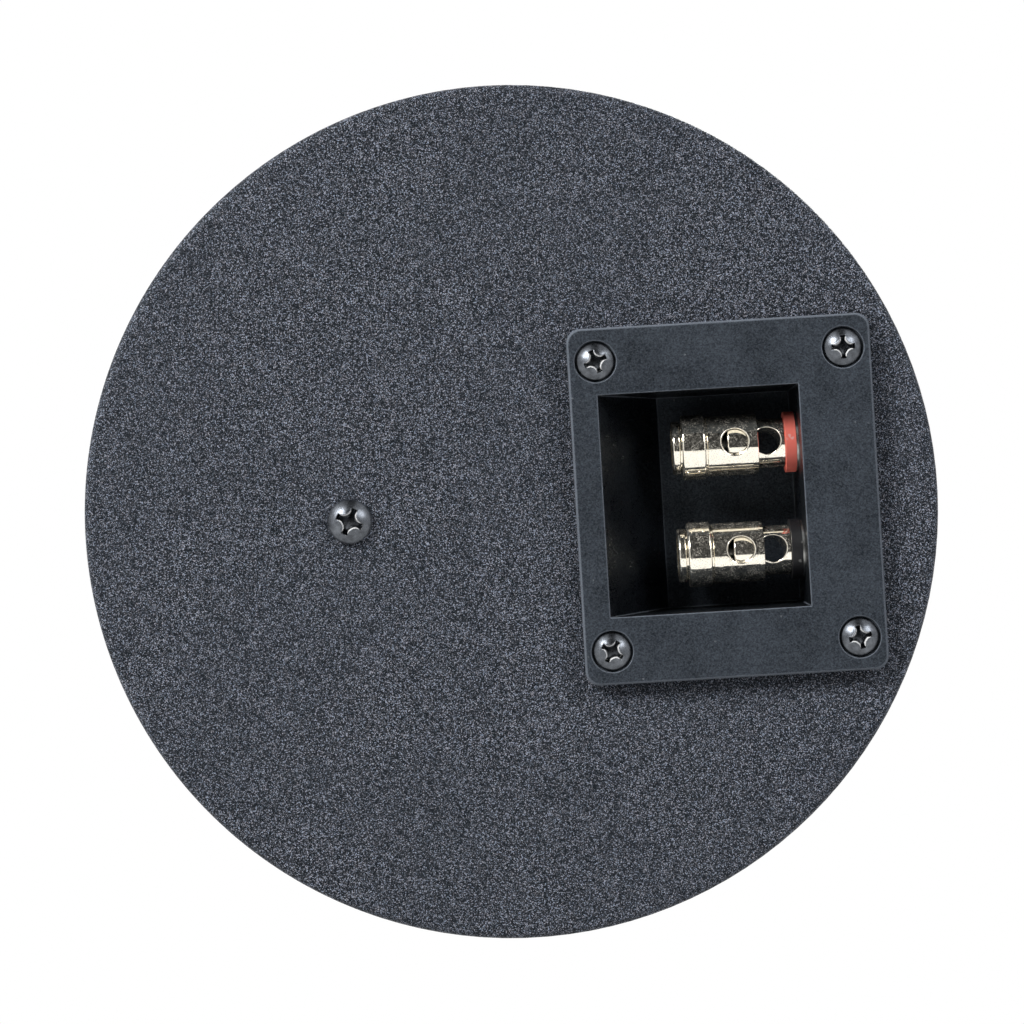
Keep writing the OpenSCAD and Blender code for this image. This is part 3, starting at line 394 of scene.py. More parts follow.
def sand_paint(name, paint, grain, relief, contrast=12.0):
    """Powder paint whose grains are painted from near black to pale: painted shade and painted glints for the
    light each grain catches.
    """
    warm_grain, cold_grain = (0.66, 0.5, 0.38), (0.4, 0.5, 0.68)
    finish = Finish(name)
    random, _ = finish.cells(grain)
    coarse = finish.noise(grain * 5, detail=3, roughness=0.6)
    wide = finish.noise(0.03, detail=2)
    share = finish.sum_of(random, 5.5, "POWER")
    share = finish.sum_of(share, finish.band(coarse, 0.3, 0.7, -0.02, 0.02))
    tint = finish.mix(finish.cells(grain * 1.3)[0], warm_grain, cold_grain)
    # painted glints: a few pale grains, many times the paint's colour and tinted warm or cold; the rest are
    # near black as painted shade
    pale = finish.mix(0.45, shade(paint, contrast), tint)
    colour = finish.mix(share, shade(paint, 0.12), pale)
    colour = finish.mix(finish.band(wide, 0.4, 0.6, 0, 0.16), colour, shade(paint, 0.6))
    finish.drive("Base Color", colour)
    finish.set(Specular_IOR_Level=0.2, Specular_Tint=(0.7, 0.85, 1.0))
    finish.drive("Roughness", finish.band(random, 0, 1, 0.65, 0.4))
    height = finish.sum_of(finish.band(coarse, 0, 1, 0, 0.5), finish.band(random, 0, 1, 0, 0.9))
    finish.drive("Normal", finish.bump(height, relief, after=finish.soft_edges(0.0004)))
    return finish


def moulded_plastic(name, colour, edge_radius, smudge=0.4, roughness=0.46):
    """Black moulded plastic: satin where it faces front or back, polished walls darkened by painted shade,
    and a painted highlight along the edges.
    """
    fleck, painted_edge_highlight, blue_shine = (0.25, 0.26, 0.28), (0.24, 0.27, 0.32), (0.74, 0.87, 1.0)
    painted_wall_shade, wall_roughness = 0.35, 0.22
    finish = Finish(name)
    clouds = finish.noise(0.006, detail=5, roughness=0.62)
    skin = finish.noise(0.0005, detail=4, roughness=0.85)
    scuffs = finish.noise(0.0016, detail=5, roughness=0.75, stretch=(1, 1, 4))
    specks, _ = finish.cells(0.0003)
    mottled = finish.tones(clouds, 0.36, 0.64, colour, 1 - smudge, 1 + smudge)
    mottled = finish.mix(finish.band(skin, 0.42, 0.62, 0, 0.8), mottled, shade(colour, 2.8))
    mottled = finish.mix(finish.band(specks, 0.9992, 0.9998, 0, 0.35), mottled, fleck)
    soft = finish.soft_edges(edge_radius)
    # painted highlight: a pale colour along every edge, where the softened normal leans away from the face's
    # own
    edges = finish.band(finish.turned_away(soft), 0.01, 0.1, 0, 0.7)
    facing = finish.band(finish.along((0, 1, 0)), 0.85, 0.97)
    # painted shade: faces that look neither front nor back, such as the recess walls, take a darker share of
    # the colour
    mottled = finish.mix(facing, shade(colour, painted_wall_shade), mottled)
    finish.drive("Base Color", finish.mix(edges, mottled, painted_edge_highlight))
    glint = finish.band(finish.cells(0.00023)[0], 0, 1, 0.2, 0.86)
    glint = finish.sum_of(glint, finish.band(clouds, 0.36, 0.64, -0.06, 0.06))
    finish.drive("Specular IOR Level", glint)
    finish.set(Specular_Tint=blue_shine)
    wear = finish.sum_of(finish.band(scuffs, 0.4, 0.7, 0, 0.14), finish.band(clouds, 0.36, 0.64, 0, 0.12))
    wear = finish.sum_of(wear, finish.band(skin, 0.4, 0.62, 0.07, -0.07))
    polish = finish.band(facing, 0, 1, wall_roughness, roughness)
    finish.drive("Roughness", finish.sum_of(wear, polish))
    height = finish.sum_of(skin, finish.band(clouds, 0.3, 0.7, 0, 0.3))
    finish.drive("Normal", finish.bump(height, 0.00005, after=soft))
    return finish


def gold_plate(name, gold, roughness):
    """Bright pale gold over turned brass, under a thin uneven haze of fine pits."""
    finish = Finish(name)
    waves = finish.noise(0.0011, detail=2)
    pits, _ = finish.cells(0.00016)
    patches = finish.noise(0.0015, detail=4, roughness=0.7)
    haze = finish.sum_of(pits, finish.band(patches, 0.3, 0.7, -0.3, 0.3))
    haze = finish.sum_of(finish.band(haze, 0.15, 1.2), 2.2, "POWER")
    finish.drive("Base Color", finish.tones(waves, 0.3, 0.7, gold, 0.93, 1))
    finish.drive("Metallic", finish.band(haze, 0, 1, 1, 0.5))
    finish.drive("Roughness", finish.band(haze, 0, 1, roughness, 0.16))
    finish.drive("Normal", finish.bump(waves, 0.00001))
    return finish


def plated_steel(name, colour, roughness, edge_radius=0.0001, rim_highlight_share=0.0):
    """Zinc, nickel or blackened steel with a thin uneven plating.

    rim_highlight_share is the share of a near-white painted highlight on a rear screw's recess rim, whose rim
    alone has this slant.
    """
    painted_rim_highlight = (0.95, 0.96, 0.97)
    finish = Finish(name)
    skin = finish.noise(0.0003, detail=4, roughness=0.75)
    stains = finish.noise(0.0016, detail=4, roughness=0.65)
    slant = finish.along((0, 1, 0))
    # painted highlight: a near-white, barely metallic colour on faces with the slant of a screw recess's rim
    rim_highlight_mask = finish.band(slant, 0.38, 0.43)
    rim_highlight_mask = finish.sum_of(rim_highlight_mask, finish.band(slant, 0.55, 0.6, rim_highlight_share, 0), "MULTIPLY")
    plating = finish.tones(stains, 0.35, 0.65, colour, 0.65, 1.3)
    finish.drive("Base Color", finish.mix(rim_highlight_mask, plating, painted_rim_highlight))
    finish.drive("Metallic", finish.band(rim_highlight_mask, 0, 0.9, 1, 0.1))
    finish.drive("Roughness", finish.band(skin, 0.3, 0.7, roughness - 0.06, roughness + 0.12))
    finish.drive("Normal", finish.bump(skin, 0.000012, after=finish.soft_edges(edge_radius)))
    return finish


def fine_plastic(name, colour, roughness=0.5, grain=0.0004, relief=0.00001):
    """Plain plastic or lacquer with a fine eroded skin."""
    finish = Finish(name)
    skin = finish.noise(grain, detail=3, roughness=0.6)
    cloud = finish.noise(0.008, detail=2)
    specks, _ = finish.cells(0.0005)
    tone = finish.tones(cloud, 0.3, 0.7, colour, 0.92, 1.06)
    tone = finish.mix(finish.band(specks, 0.985, 0.995, 0, 0.35), tone, (0.75, 0.74, 0.72))
    finish.drive("Base Color", tone)
    finish.drive("Roughness", finish.band(skin, 0.3, 0.7, roughness - 0.06, roughness + 0.1))
    finish.drive("Normal", finish.bump(skin, relief, after=finish.soft_edges(0.00015)))
    return finish


def cell_foam(name, colour):
    """Closed-cell foam: small open cells on its cut faces."""
    finish = Finish(name)
    _, distance = finish.cells(0.0005)
    # painted shade: each cell is darker towards its middle, as inside an open pore, lighter at its walls
    finish.drive("Base Color", finish.tones(distance, 0, 0.6, colour, 0.4, 1.6))
    finish.set(Roughness=0.95)
    finish.drive("Normal", finish.bump(distance, 0.0002))
    return finish


def fibre_finish(name, colour, size, relief, roughness=0.95, stretch=(1, 1, 8), sheen=0.2):
    """Fibres that lie mostly one way: wadding, paper pulp or treated cloth."""
    finish = Finish(name)
    strands = finish.noise(size, detail=5, roughness=0.7, stretch=stretch)
    clumps = finish.noise(size * 9, detail=3)
    finish.drive("Base Color", finish.tones(strands, 0.3, 0.7, colour, 0.6, 1.25))
    finish.set(Roughness=roughness, Sheen_Weight=sheen)
    finish.drive("Normal", finish.bump(finish.sum_of(strands, clumps), relief))
    return finish


def woven_cloth(name, colour, thread=0.0007):
    """Open plain weave, stiffened with resin."""
    finish = Finish(name)
    waves = []
    for axis in ("X", "Z"):
        made = finish.node("TexWave", wave_type="BANDS", bands_direction=axis)
        made.inputs["Scale"].default_value = 1 / thread / 2
        made.inputs["Distortion"].default_value = 0.6
        finish.link(finish.place, made.inputs["Vector"])
        waves.append(made.outputs["Fac"])
    weave = finish.sum_of(waves[0], waves[1], "MAXIMUM")
    finish.drive("Base Color", finish.mix(weave, shade(colour, 0.45), colour))
    finish.set(Roughness=0.85)
    finish.drive("Normal", finish.bump(weave, 0.00015))
    return finish


def wound_wire(name, colour, wire=0.0005, axis="Y"):
    """Enamelled wire laid turn by turn."""
    finish = Finish(name)
    made = finish.node("TexWave", wave_type="BANDS", bands_direction=axis, wave_profile="SIN")
    made.inputs["Scale"].default_value = 1 / wire / 3.2
    made.inputs["Distortion"].default_value = 0.2
    finish.link(finish.place, made.inputs["Vector"])
    turns = made.outputs["Fac"]
    # painted shade in the grooves between turns and painted light on each turn's crest
    finish.drive("Base Color", finish.mix(turns, shade(colour, 0.35), shade(colour, 1.15)))
    finish.set(Metallic=0.8, Roughness=0.3)
    finish.drive("Normal", finish.bump(turns, wire / 2))
    return finish


def circuit_laminate(name):
    """Board laminate under green lacquer, with the glass weave just showing."""
    finish = Finish(name)
    waves = []
    for axis in ("X", "Z"):
        made = finish.node("TexWave", wave_type="BANDS", bands_direction=axis)
        made.inputs["Scale"].default_value = 900
        finish.link(finish.place, made.inputs["Vector"])
        waves.append(made.outputs["Fac"])
    weave = finish.sum_of(waves[0], waves[1], "MULTIPLY")
    copper = finish.band(finish.noise(0.012, detail=0), 0.5, 0.515)
    green = finish.mix(weave, (0.012, 0.09, 0.045), (0.018, 0.12, 0.06))
    finish.drive("Base Color", finish.mix(copper, green, (0.03, 0.19, 0.08)))
    finish.set(Roughness=0.32)
    finish.drive("Normal", finish.bump(finish.sum_of(weave, copper), 0.00003))
    return finish


def dress(finish, *nodes):
    """Puts a finish on packed solids."""
    for name in nodes:
        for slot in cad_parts[name].material_slots:
            slot.material = finish.material


def add_piece(name, shape, place, finish, body=SPEAKER, stands_for=(), sharp=None):
    """A smooth mesh piece from its points and faces, moved to its place, that rides on a body."""
    points, faces = shape
    mesh = bpy.data.meshes.new(name)
    mesh.from_pydata([tuple(p) for p in placed(points, place)], [], [tuple(f) for f in faces])
    mesh.validate()
    mesh.polygons.foreach_set("use_smooth", [True] * len(mesh.polygons))
    if sharp is not None:
        mesh.set_sharp_from_angle(angle=math.radians(sharp))
    mesh.materials.append(finish.material)
    piece = bpy.data.objects.new(name, mesh)
    bpy.context.scene.collection.objects.link(piece)
    if body is not None:
        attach(piece, body)
    if stands_for:
        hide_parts(*stands_for)
    return piece


def placed(points, matrix):
    """Points moved by a matrix, as an array."""
    points = np.asarray(points, float)
    turned = np.array(matrix, float)
    return points @ turned[:3, :3].T + turned[:3, 3]


def full_turn(steps):
    """Angles once round, the first at 0."""
    return np.linspace(0, 2 * math.pi, steps, endpoint=False)


def turned_faces(outlines, count, closed):
    """Faces between outlines of count points that stand side by side once round."""
    faces = []
    for i in range(outlines):
        here, there = i * count, (i + 1) % outlines * count
        for k in range(count if closed else count - 1):
            after = (k + 1) % count
            faces.append((here + k, there + k, there + after, here + after))
    return faces


def lathe(outline, segments, closed=False):
    """Points and faces of an outline of (radius, z) pairs turned round z."""
    angles = full_turn(segments)
    points = [(r * math.cos(a), r * math.sin(a), z) for a in angles for r, z in outline]
    return points, turned_faces(segments, len(outline), closed)


def arc(x, y, radius, first, last, steps=4):
    """(radius, z) points along an arc between two angles in degrees."""
    angles = np.radians(np.linspace(first, last, steps + 1))
    return [(x + radius * math.cos(a), y + radius * math.sin(a)) for a in angles]


def drilled_lathe(outline, drilled, hole_at, hole_r, half_length, half_angle, rim, segments=96):
    """A closed outline of (radius, z) turned round z, with a cross hole along x.

    drilled lists the straight outline edges that the hole goes through, each by its first point.
    Round the hole each of them gets a patch that reaches half_length along z and half_angle to
    either side, and rim is the width that rounds the hole's outer edge.
    """
    towards_hole = (0, 0.3, 0.6, 0.85, 1)
    round_the_rim = np.radians((18, 36, 54, 72, 90))
    along_bore = (0, 0.1, 0.5, 0.9, 1) if len(drilled) == 1 else (0, 0.2, 0.8, 1)
    across = round(segments * half_angle / 180)
    angles = -math.radians(half_angle) + np.arange(segments) * 2 * math.pi / segments
    around = list(angles) + [angles[0] + 2 * math.pi]
    points, faces, mouths = [], [], []

    def sheet(rows):
        """Adds a grid of points and the faces between them."""
        rows = np.asarray(rows)
        first = len(points)
        points.extend(map(tuple, rows.reshape(-1, 3)))
        width = rows.shape[1]
        for i in range(rows.shape[0] - 1):
            for k in range(width - 1):
                a, b = first + i * width + k, first + (i + 1) * width + k
                faces.append((a, a + 1, b + 1, b))

    def band(*edges):
        """Adds the ring between two (radius, z) edges."""
        sheet([[(r * math.cos(a), r * math.sin(a), z) for a in around] for r, z in edges])

    for index, (r, z) in enumerate(outline):
        next_r, next_z = outline[(index + 1) % len(outline)]
        if index not in drilled:
            band((r, z), (next_r, next_z))
            continue
        rise = half_length if next_z > z else -half_length
        band((r, z), (r, hole_at - rise))
        band((r, hole_at + rise), (r, next_z))
        levels = np.linspace(hole_at - half_length, hole_at + half_length, across + 1)
        for side in (0, segments // 2):
            between = around[side + across : side + segments // 2 + 1]
            sheet([[(r * math.cos(a), r * math.sin(a), level) for a in between] for level in levels])
        edge = np.linspace(-1, 1, across + 1)[:-1]
        square = [(-1, t) for t in edge] + [(t, 1) for t in edge]
        square += [(1, -t) for t in edge] + [(-t, -1) for t in edge]
        square = np.array(square + square[:1])
        lean = np.sin(square[:, 1] * math.radians(half_angle)) * r
        outer = np.stack([square[:, 0] * half_length, lean], 1)
        bearing = np.arctan2(square[:, 1], square[:, 0])
        circle = np.stack([np.cos(bearing), np.sin(bearing)], 1)
        width = rim if next_z > z else 0
        rings = [(outer + (circle * (hole_r + width) - outer) * t, 0) for t in towards_hole]
        if width:
            for t in round_the_rim:
                rings.append((circle * (hole_r + width * (1 - math.sin(t))), width * (1 - math.cos(t))))
        for facing in (1, -1):
            rows = []
            for ring, sunk in rings:
                out = facing * (np.sqrt(r**2 - ring[:, 1] ** 2) - sunk)
                rows.append(np.stack([out, ring[:, 1], hole_at + ring[:, 0]], 1))
            sheet(rows)
            mouths.append(rows[-1])
    half = len(mouths) // 2
    for near, far in zip(mouths[:half], mouths[half:]):
        sheet([near + (far - near) * t for t in along_bore])
    return points, faces


def weld(piece, sharp):
    """Joins the doubled points of a closed piece and turns its faces outwards."""
    mesh = bmesh.new()
    mesh.from_mesh(piece.data)
    bmesh.ops.remove_doubles(mesh, verts=mesh.verts, dist=0.0000005)
    bmesh.ops.dissolve_degenerate(mesh, edges=mesh.edges, dist=0.0000005)
    bmesh.ops.recalc_face_normals(mesh, faces=mesh.faces)
    mesh.to_mesh(piece.data)
    mesh.free()
    piece.data.set_sharp_from_angle(angle=math.radians(sharp))


def tube_mesh(path, radius, sides):
    """Points and faces of a round tube along a path, with flat ends."""
    path = np.asarray(path, float)
    tangents = np.gradient(path, axis=0)
    tangents /= np.linalg.norm(tangents, axis=1)[:, None]
    normal = np.cross(tangents[0], (0.31, 0.17, 0.93))
    points = []
    for at, along in zip(path, tangents):
        normal = normal - along * (normal @ along)
        normal /= np.linalg.norm(normal)
        side = np.cross(along, normal)
        for k in range(sides):
            angle = 2 * math.pi * k / sides
            points.append(at + radius * (normal * math.cos(angle) + side * math.sin(angle)))
    faces = []
    for here in range(0, (len(path) - 1) * sides, sides):
        for k in range(sides):
            after, there = (k + 1) % sides, here + sides
            faces.append((here + k, here + after, there + after, there + k))
    last = (len(path) - 1) * sides
    faces += [tuple(range(sides - 1, -1, -1)), tuple(range(last, last + sides))]
    return points, faces


def joined(parts):
    """Several (points, faces) pairs as one."""
    points, faces = [], []
    for some_points, some_faces in parts:
        offset = len(points)
        points.extend(some_points)
        faces.extend(tuple(i + offset for i in face) for face in some_faces)
    return points, faces


def star_recess(x, y, diameter):
    """Distance outside the four-pointed recess of a screw of this diameter, negative inside."""
    reach, hollow, hollow_at = RECESS_REACH * diameter, 0.2019 * diameter, 0.2736 * diameter
    across, up = np.abs(x), np.abs(y)
    tips = np.maximum(across, up) - reach
    sides = hollow - np.hypot(across - hollow_at, up - hollow_at)
    return np.maximum(tips, sides)


def pan_head(diameter, height, turn, segments):
    """Pan head with a tapered cross recess, its underside at z = 0, in millimetres."""
    rings = segments // 3
    radius = diameter / 2
    rise = height * 0.65
    ball = (radius**2 + rise**2) / (2 * rise)
    shoulder, burr_width, burr_height = 0.08, 0.08, 0.04
    rim_slope, wall_slope, rim_width = 1.9, 6, 0.3
    radii = radius * np.linspace(0, 1, rings + 1)[1:]
    angles = full_turn(segments)
    r, a = np.meshgrid(radii, angles)
    x, y = r * np.cos(a), r * np.sin(a)
    top = height - (ball - np.sqrt(ball**2 - r**2))
    edge = np.clip((r - (radius - shoulder)) / shoulder, 0, 1)
    top -= shoulder * (1 - np.sqrt(1 - edge**2))
    turned = a - math.radians(turn)
    inside = -star_recess(r * np.cos(turned), r * np.sin(turned), diameter)
    rounding = diameter * 0.006
    rim = rim_width * np.clip((RECESS_REACH * diameter - r) / (0.125 * diameter), 0.15, 1)
    depth = 0.5 * (inside + np.sqrt(inside**2 + rounding**2))
    depth = rim_slope * depth + wall_slope * np.maximum(depth - rim, 0)
    top -= np.minimum(np.where(inside > -4 * rounding, depth, 0), height * 0.8)
    top += burr_height * np.exp(-((inside + burr_width / 2) / burr_width) ** 2)
    points = [(0, 0, height * 0.2), *zip(x.ravel(), y.ravel(), top.ravel())]
    faces = []
    for i in range(segments):
        here, there = 1 + i * rings, 1 + (i + 1) % segments * rings
        faces.append((0, here, there))
        for k in range(rings - 1):
            faces.append((here + k, here + k + 1, there + k + 1, there + k))
    skirt = len(points)
    points.extend((radius * math.cos(t), radius * math.sin(t), 0) for t in angles)
    for i in range(segments):
        after = (i + 1) % segments
        here, there = i * rings + rings, after * rings + rings
        faces.append((here, skirt + i, skirt + after, there))
    return points, faces


def threaded_shank(diameter, length, pitch, segments=32):
    """Shank with thread ridges below z = 0 and a blunt point, in millimetres."""
    radius, root = diameter / 2, diameter / 2 * 0.8
    outline = [(diameter * 0.6, 0), (radius, -0.02), (radius, -0.4)]
    z = -0.8
    while z > -length + 1.4:
        outline += [(root, z), (radius, z - pitch * 0.45)]
        z -= pitch
    outline += [(root, z), (radius * 0.4, -length), (0.01, -length)]
    return lathe(outline, segments)


def screw_mesh(diameter, height, turn, shank, length, segments):
    """Whole screw, head up, in millimetres."""
    head = pan_head(diameter, height, turn, segments)
    return joined([head, threaded_shank(shank, length, 1.1)])


def smooth_path(knots, steps):
    """Points of a smooth curve through a route's knots."""
    knots = np.asarray(knots, float)
    padded = np.vstack([knots[0], knots, knots[-1]])
    path = []
    for a, b, c, d in zip(padded, padded[1:], padded[2:], padded[3:]):
        start, bend, twist = c - a, 2 * a - 5 * b + 4 * c - d, 3 * b - a - 3 * c + d
        for t in np.linspace(0, 1, steps, endpoint=False):
            path.append(0.5 * (2 * b + start * t + bend * t**2 + twist * t**3))
    path.append(knots[-1])
    return np.array(path)


class StagePart:
    """Shared by every operator here: listed in the sidebar, can be undone."""

    bl_options = {"REGISTER", "UNDO"}


class SPEAKER_OT_camera(StagePart, bpy.types.Operator):
    """Adds the camera, square on to the rear face"""

    bl_idname = "speaker.camera"
    bl_label = "Camera"

    def execute(self, context):
        setup = context.scene.speaker_studio
        camera = bpy.data.objects.new("camera", bpy.data.cameras.new("camera"))
        camera.data.lens = setup.lens
        camera.data.sensor_width = 36
        camera.location = (CAMERA_RIGHT * MM, -CAN_DEPTH * MM - setup.distance, CAMERA_UP * MM)
        camera.rotation_euler = (math.pi / 2, 0, 0)
        context.scene.collection.objects.link(camera)
        context.scene.camera = camera
        return {"FINISHED"}


def add_plane(name, corners, material):
    """A flat stage panel from its corners."""
    mesh = bpy.data.meshes.new(name)
    mesh.from_pydata(corners, [], [tuple(range(len(corners)))])
    mesh.materials.append(material)
    panel = bpy.data.objects.new(name, mesh)
    bpy.context.scene.collection.objects.link(panel)
    return panel


def seen_directly(tree):
    """Output that is 1 for camera, glossy and transmission rays and 0 for others."""
    path = tree.nodes.new("ShaderNodeLightPath")
    value = path.outputs["Is Camera Ray"]
    for name in ("Is Glossy Ray", "Is Transmission Ray"):
        larger = tree.nodes.new("ShaderNodeMath")
        larger.operation = "MAXIMUM"
        tree.links.new(value, larger.inputs[0])
        tree.links.new(path.outputs[name], larger.inputs[1])
        value = larger.outputs["Value"]
    return value


def floor_paper():
    """White paper that keeps the object's shadow."""
    dull_white, glow, glow_colour = (0.4, 0.4, 0.4), 0.74, (1, 0.985, 0.95)
    finish = Finish("floor_paper")
    tooth = finish.noise(0.002, detail=3)
    finish.drive("Base Color", finish.tones(tooth, 0.3, 0.7, dull_white, 1, 1.05))
    finish.set(Roughness=0.9, Emission_Color=glow_colour)
    finish.drive("Emission Strength", finish.sum_of(seen_directly(finish.tree), glow, "MULTIPLY"))
    return finish


def studio_air(fill):
    """Soft light from all round, which looks white wherever it is seen."""
    world = bpy.data.worlds.new("studio_air")
    world.use_nodes = True
    tree = world.node_tree
    level = tree.nodes.new("ShaderNodeMapRange")
    level.inputs["To Min"].default_value = fill
    level.inputs["To Max"].default_value = 1
    tree.links.new(seen_directly(tree), level.inputs["Value"])
    background = tree.nodes["Background"]
    background.inputs["Color"].default_value = (1, 1, 1, 1)
    tree.links.new(level.outputs["Result"], background.inputs["Strength"])
    return world


def add_lamp(name, place, target, size, power, colour=(1, 1, 1)):
    """A square softbox that faces a target."""
    data = bpy.data.lights.new(name, "AREA")
    data.shape = "RECTANGLE"
    data.size = data.size_y = size
    data.energy = power
    data.color = colour
    lamp = bpy.data.objects.new(name, data)
    lamp.location = place
    lamp.rotation_euler = (Vector(target) - Vector(place)).to_track_quat("-Z", "Y").to_euler()
    bpy.context.scene.collection.objects.link(lamp)
    return lamp


class SPEAKER_OT_studio(StagePart, bpy.types.Operator):
    """Adds the floor, the dark cards, the softboxes and the soft light from all round"""

    bl_idname = "speaker.studio"
    bl_label = "Studio"

    def execute(self, context):
        setup = context.scene.speaker_studio
        floor_z, card_y, card_top = -0.3, -1.5, 1.7
        rear_of_can = (0, -0.09, 0)
        paper = [(-1.8, card_y, floor_z), (1.8, card_y, floor_z), (1.8, 1.15, floor_z), (-1.8, 1.15, floor_z)]
        outline = ((-0.9, floor_z), (0.9, floor_z), (0.9, card_top), (-0.9, card_top))
        upright = [(x, card_y, z) for x, z in outline]
        add_plane("floor", paper, floor_paper().material)
        black = fine_plastic("black_card", (0.004, 0.004, 0.004), roughness=0.9)
        black.set(Roughness=0.9)
        overhead = [(-0.45, card_y, card_top), (0.45, card_y, card_top), (0.3, 0.1, 1.2), (-0.3, 0.1, 1.2)]
        for index, corners in enumerate((upright, overhead)):
            card = add_plane(f"dark_card_{index}", corners, black.material)
            card.visible_camera = False
        add_lamp("left_softbox", (-1, -1, 0.85), rear_of_can, 0.6, setup.left_power, (1, 0.995, 0.985))
        add_lamp("right_softbox", (1, -1, 0.8), rear_of_can, 0.6, setup.right_power, (0.985, 0.99, 1))
        add_lamp("front_softbox", (0.5, 1.4, 0.9), (0, 0, 0), 0.8, setup.front_power)
        context.scene.world = studio_air(setup.fill)
        context.scene.view_settings.view_transform = "Standard"
        return {"FINISHED"}


class SPEAKER_OT_can(StagePart, bpy.types.Operator):
    """Paints the can and sets its gasket"""

    bl_idname = "speaker.can"
    bl_label = "Can"

    def execute(self, context):
        looks = context.scene.speaker_can
        dress(sand_paint("can_sand_paint", looks.paint[:], looks.grain, looks.relief), "back_can")
        foam = cell_foam("gasket_foam", (0.03, 0.03, 0.032))
        dress(foam, "can_gasket", "cup_gasket", "driver_gasket", "board_pad")
        return {"FINISHED"}


class SPEAKER_OT_cup(StagePart, bpy.types.Operator):
    """Gives the terminal cup and the posts' rings their plastics"""

    bl_idname = "speaker.cup"
    bl_label = "Terminal cup"

    def execute(self, context):
        looks = context.scene.speaker_cup
        dress(moulded_plastic("cup_plastic", looks.plastic[:], looks.edge_radius), "terminal_cup")
        dress(fine_plastic("red_ring_plastic", looks.red_ring[:], 0.55, 0.0003, 0.00002), "red_ring")
        dress(fine_plastic("black_ring_plastic", (0.008, 0.008, 0.01), 0.5, 0.0003, 0.00002), "black_ring")
        return {"FINISHED"}


class SPEAKER_OT_rear_screws(StagePart, bpy.types.Operator):
    """Builds the four cup screws and the board's screw with their cross recesses"""

    bl_idname = "speaker.rear_screws"
    bl_label = "Rear screws"

    def execute(self, context):
        sizes, metals = context.scene.speaker_screws, context.scene.speaker_metals
        cup_shank, cup_length, board_shank, board_length = 3.38, 11, 4, 17
        # 0.9 is the share of the painted highlight on each screw recess's rim
        blackened = plated_steel("blackened_steel", metals.screw[:], metals.screw_roughness, 0.00008, 0.9)
        screws = []
        head, height = sizes.cup_head / MM, sizes.cup_head_height / MM
        for across, up, turn in CUP_SCREW_TURNS:
            points, faces = screw_mesh(head, height, turn, cup_shank, cup_length, sizes.segments)
            seat = (across * CUP_SCREW_DX / 2, up * CUP_SCREW_DY / 2, CUP_PLATE_FRONT - CUP_SINK)
            screws.append((placed(points, Matrix.Translation(seat)), faces))
        add_piece(
            "cup_screw_set", joined(screws), cup_matrix(), blackened,
            stands_for=["cup_screws"], sharp=50,
        )
        head, height = sizes.board_head / MM, sizes.board_head_height / MM
        screw = screw_mesh(head, height, BOARD_SCREW_TURN, board_shank, board_length, sizes.segments)
        seat = bench_matrix() @ Matrix.Translation((*BOARD_SCREW, CAN_DEPTH))
        add_piece(
            "board_fixing_screw", screw, seat, blackened, stands_for=["board_screw"], sharp=50
        )
        dress(blackened, "driver_screws", "bridge_screws", "can_screws")
        return {"FINISHED"}


def sleeve_outline():
    """Sleeve's closed outline of (radius, z) and the two edges that its wire hole goes through."""
    barrel, cap, lip, bore, mouth, stem_hole = 5.75, 6.2, 5.15, 4.82, 3.8, 2
    groove, cap_length, lip_length, web, turned_edge = 0.28, 4.5, 1.5, 1.5, 0.45
    start, tip, neck = SLEEVE_AT, SLEEVE_TIP, barrel - 0.2
    cap_end = tip - lip_length - groove
    cap_start, lip_start, web_end = cap_end - cap_length, cap_end + groove, SLEEVE_WEB + web
    outline = [(bore, start + 0.1), (bore + 0.1, start), (barrel - 0.07, start), (barrel, start + 0.07)]
    outer = len(outline) - 1
    outline += [(barrel, cap_start - 0.4), (neck, cap_start - 0.3), (neck, cap_start)]
    outline += arc(cap - 0.4, cap_start + 0.4, 0.4, -90, 0)
    outline += arc(cap - turned_edge, cap_end - turned_edge, turned_edge, 0, 90)
    outline += [(lip - 0.5, cap_end), (lip - 0.5, lip_start)]
    outline += arc(lip - 0.25, lip_start + 0.25, 0.25, -90, 0)
    outline += arc(lip - turned_edge, tip - turned_edge, turned_edge, 0, 90)
    outline += [(mouth + 0.1, tip), (mouth, tip - 0.1), (mouth, web_end), (stem_hole, web_end)]
    outline += [(stem_hole, SLEEVE_WEB), (bore, SLEEVE_WEB)]
    return outline, (outer, len(outline) - 1)


def post_outline():
    """Post's closed outline of (radius, z) and the edge that its wire hole goes through."""
    tail, tail_end, radius, root, pocket, tapped, rounding = 2, -9.8, 4.7, 2.4, 3.3, 1.3, 0.4
    floor = SPRING_FLOOR - 0.05
    outline = [(0, tail_end), (tail - 0.3, tail_end), (tail, tail_end + 0.3), (tail, root)]
    outline += [(radius - 0.15, root), (radius, root + 0.15)]
    outer = len(outline) - 1
    outline += arc(radius - rounding, POST_REACH - rounding, rounding, 0, 90)
    outline += [(pocket, POST_REACH), (pocket, floor), (tapped, floor)]
    outline += [(tapped, floor - 2.4), (0, floor - 2.4)]
    return outline, (outer,)


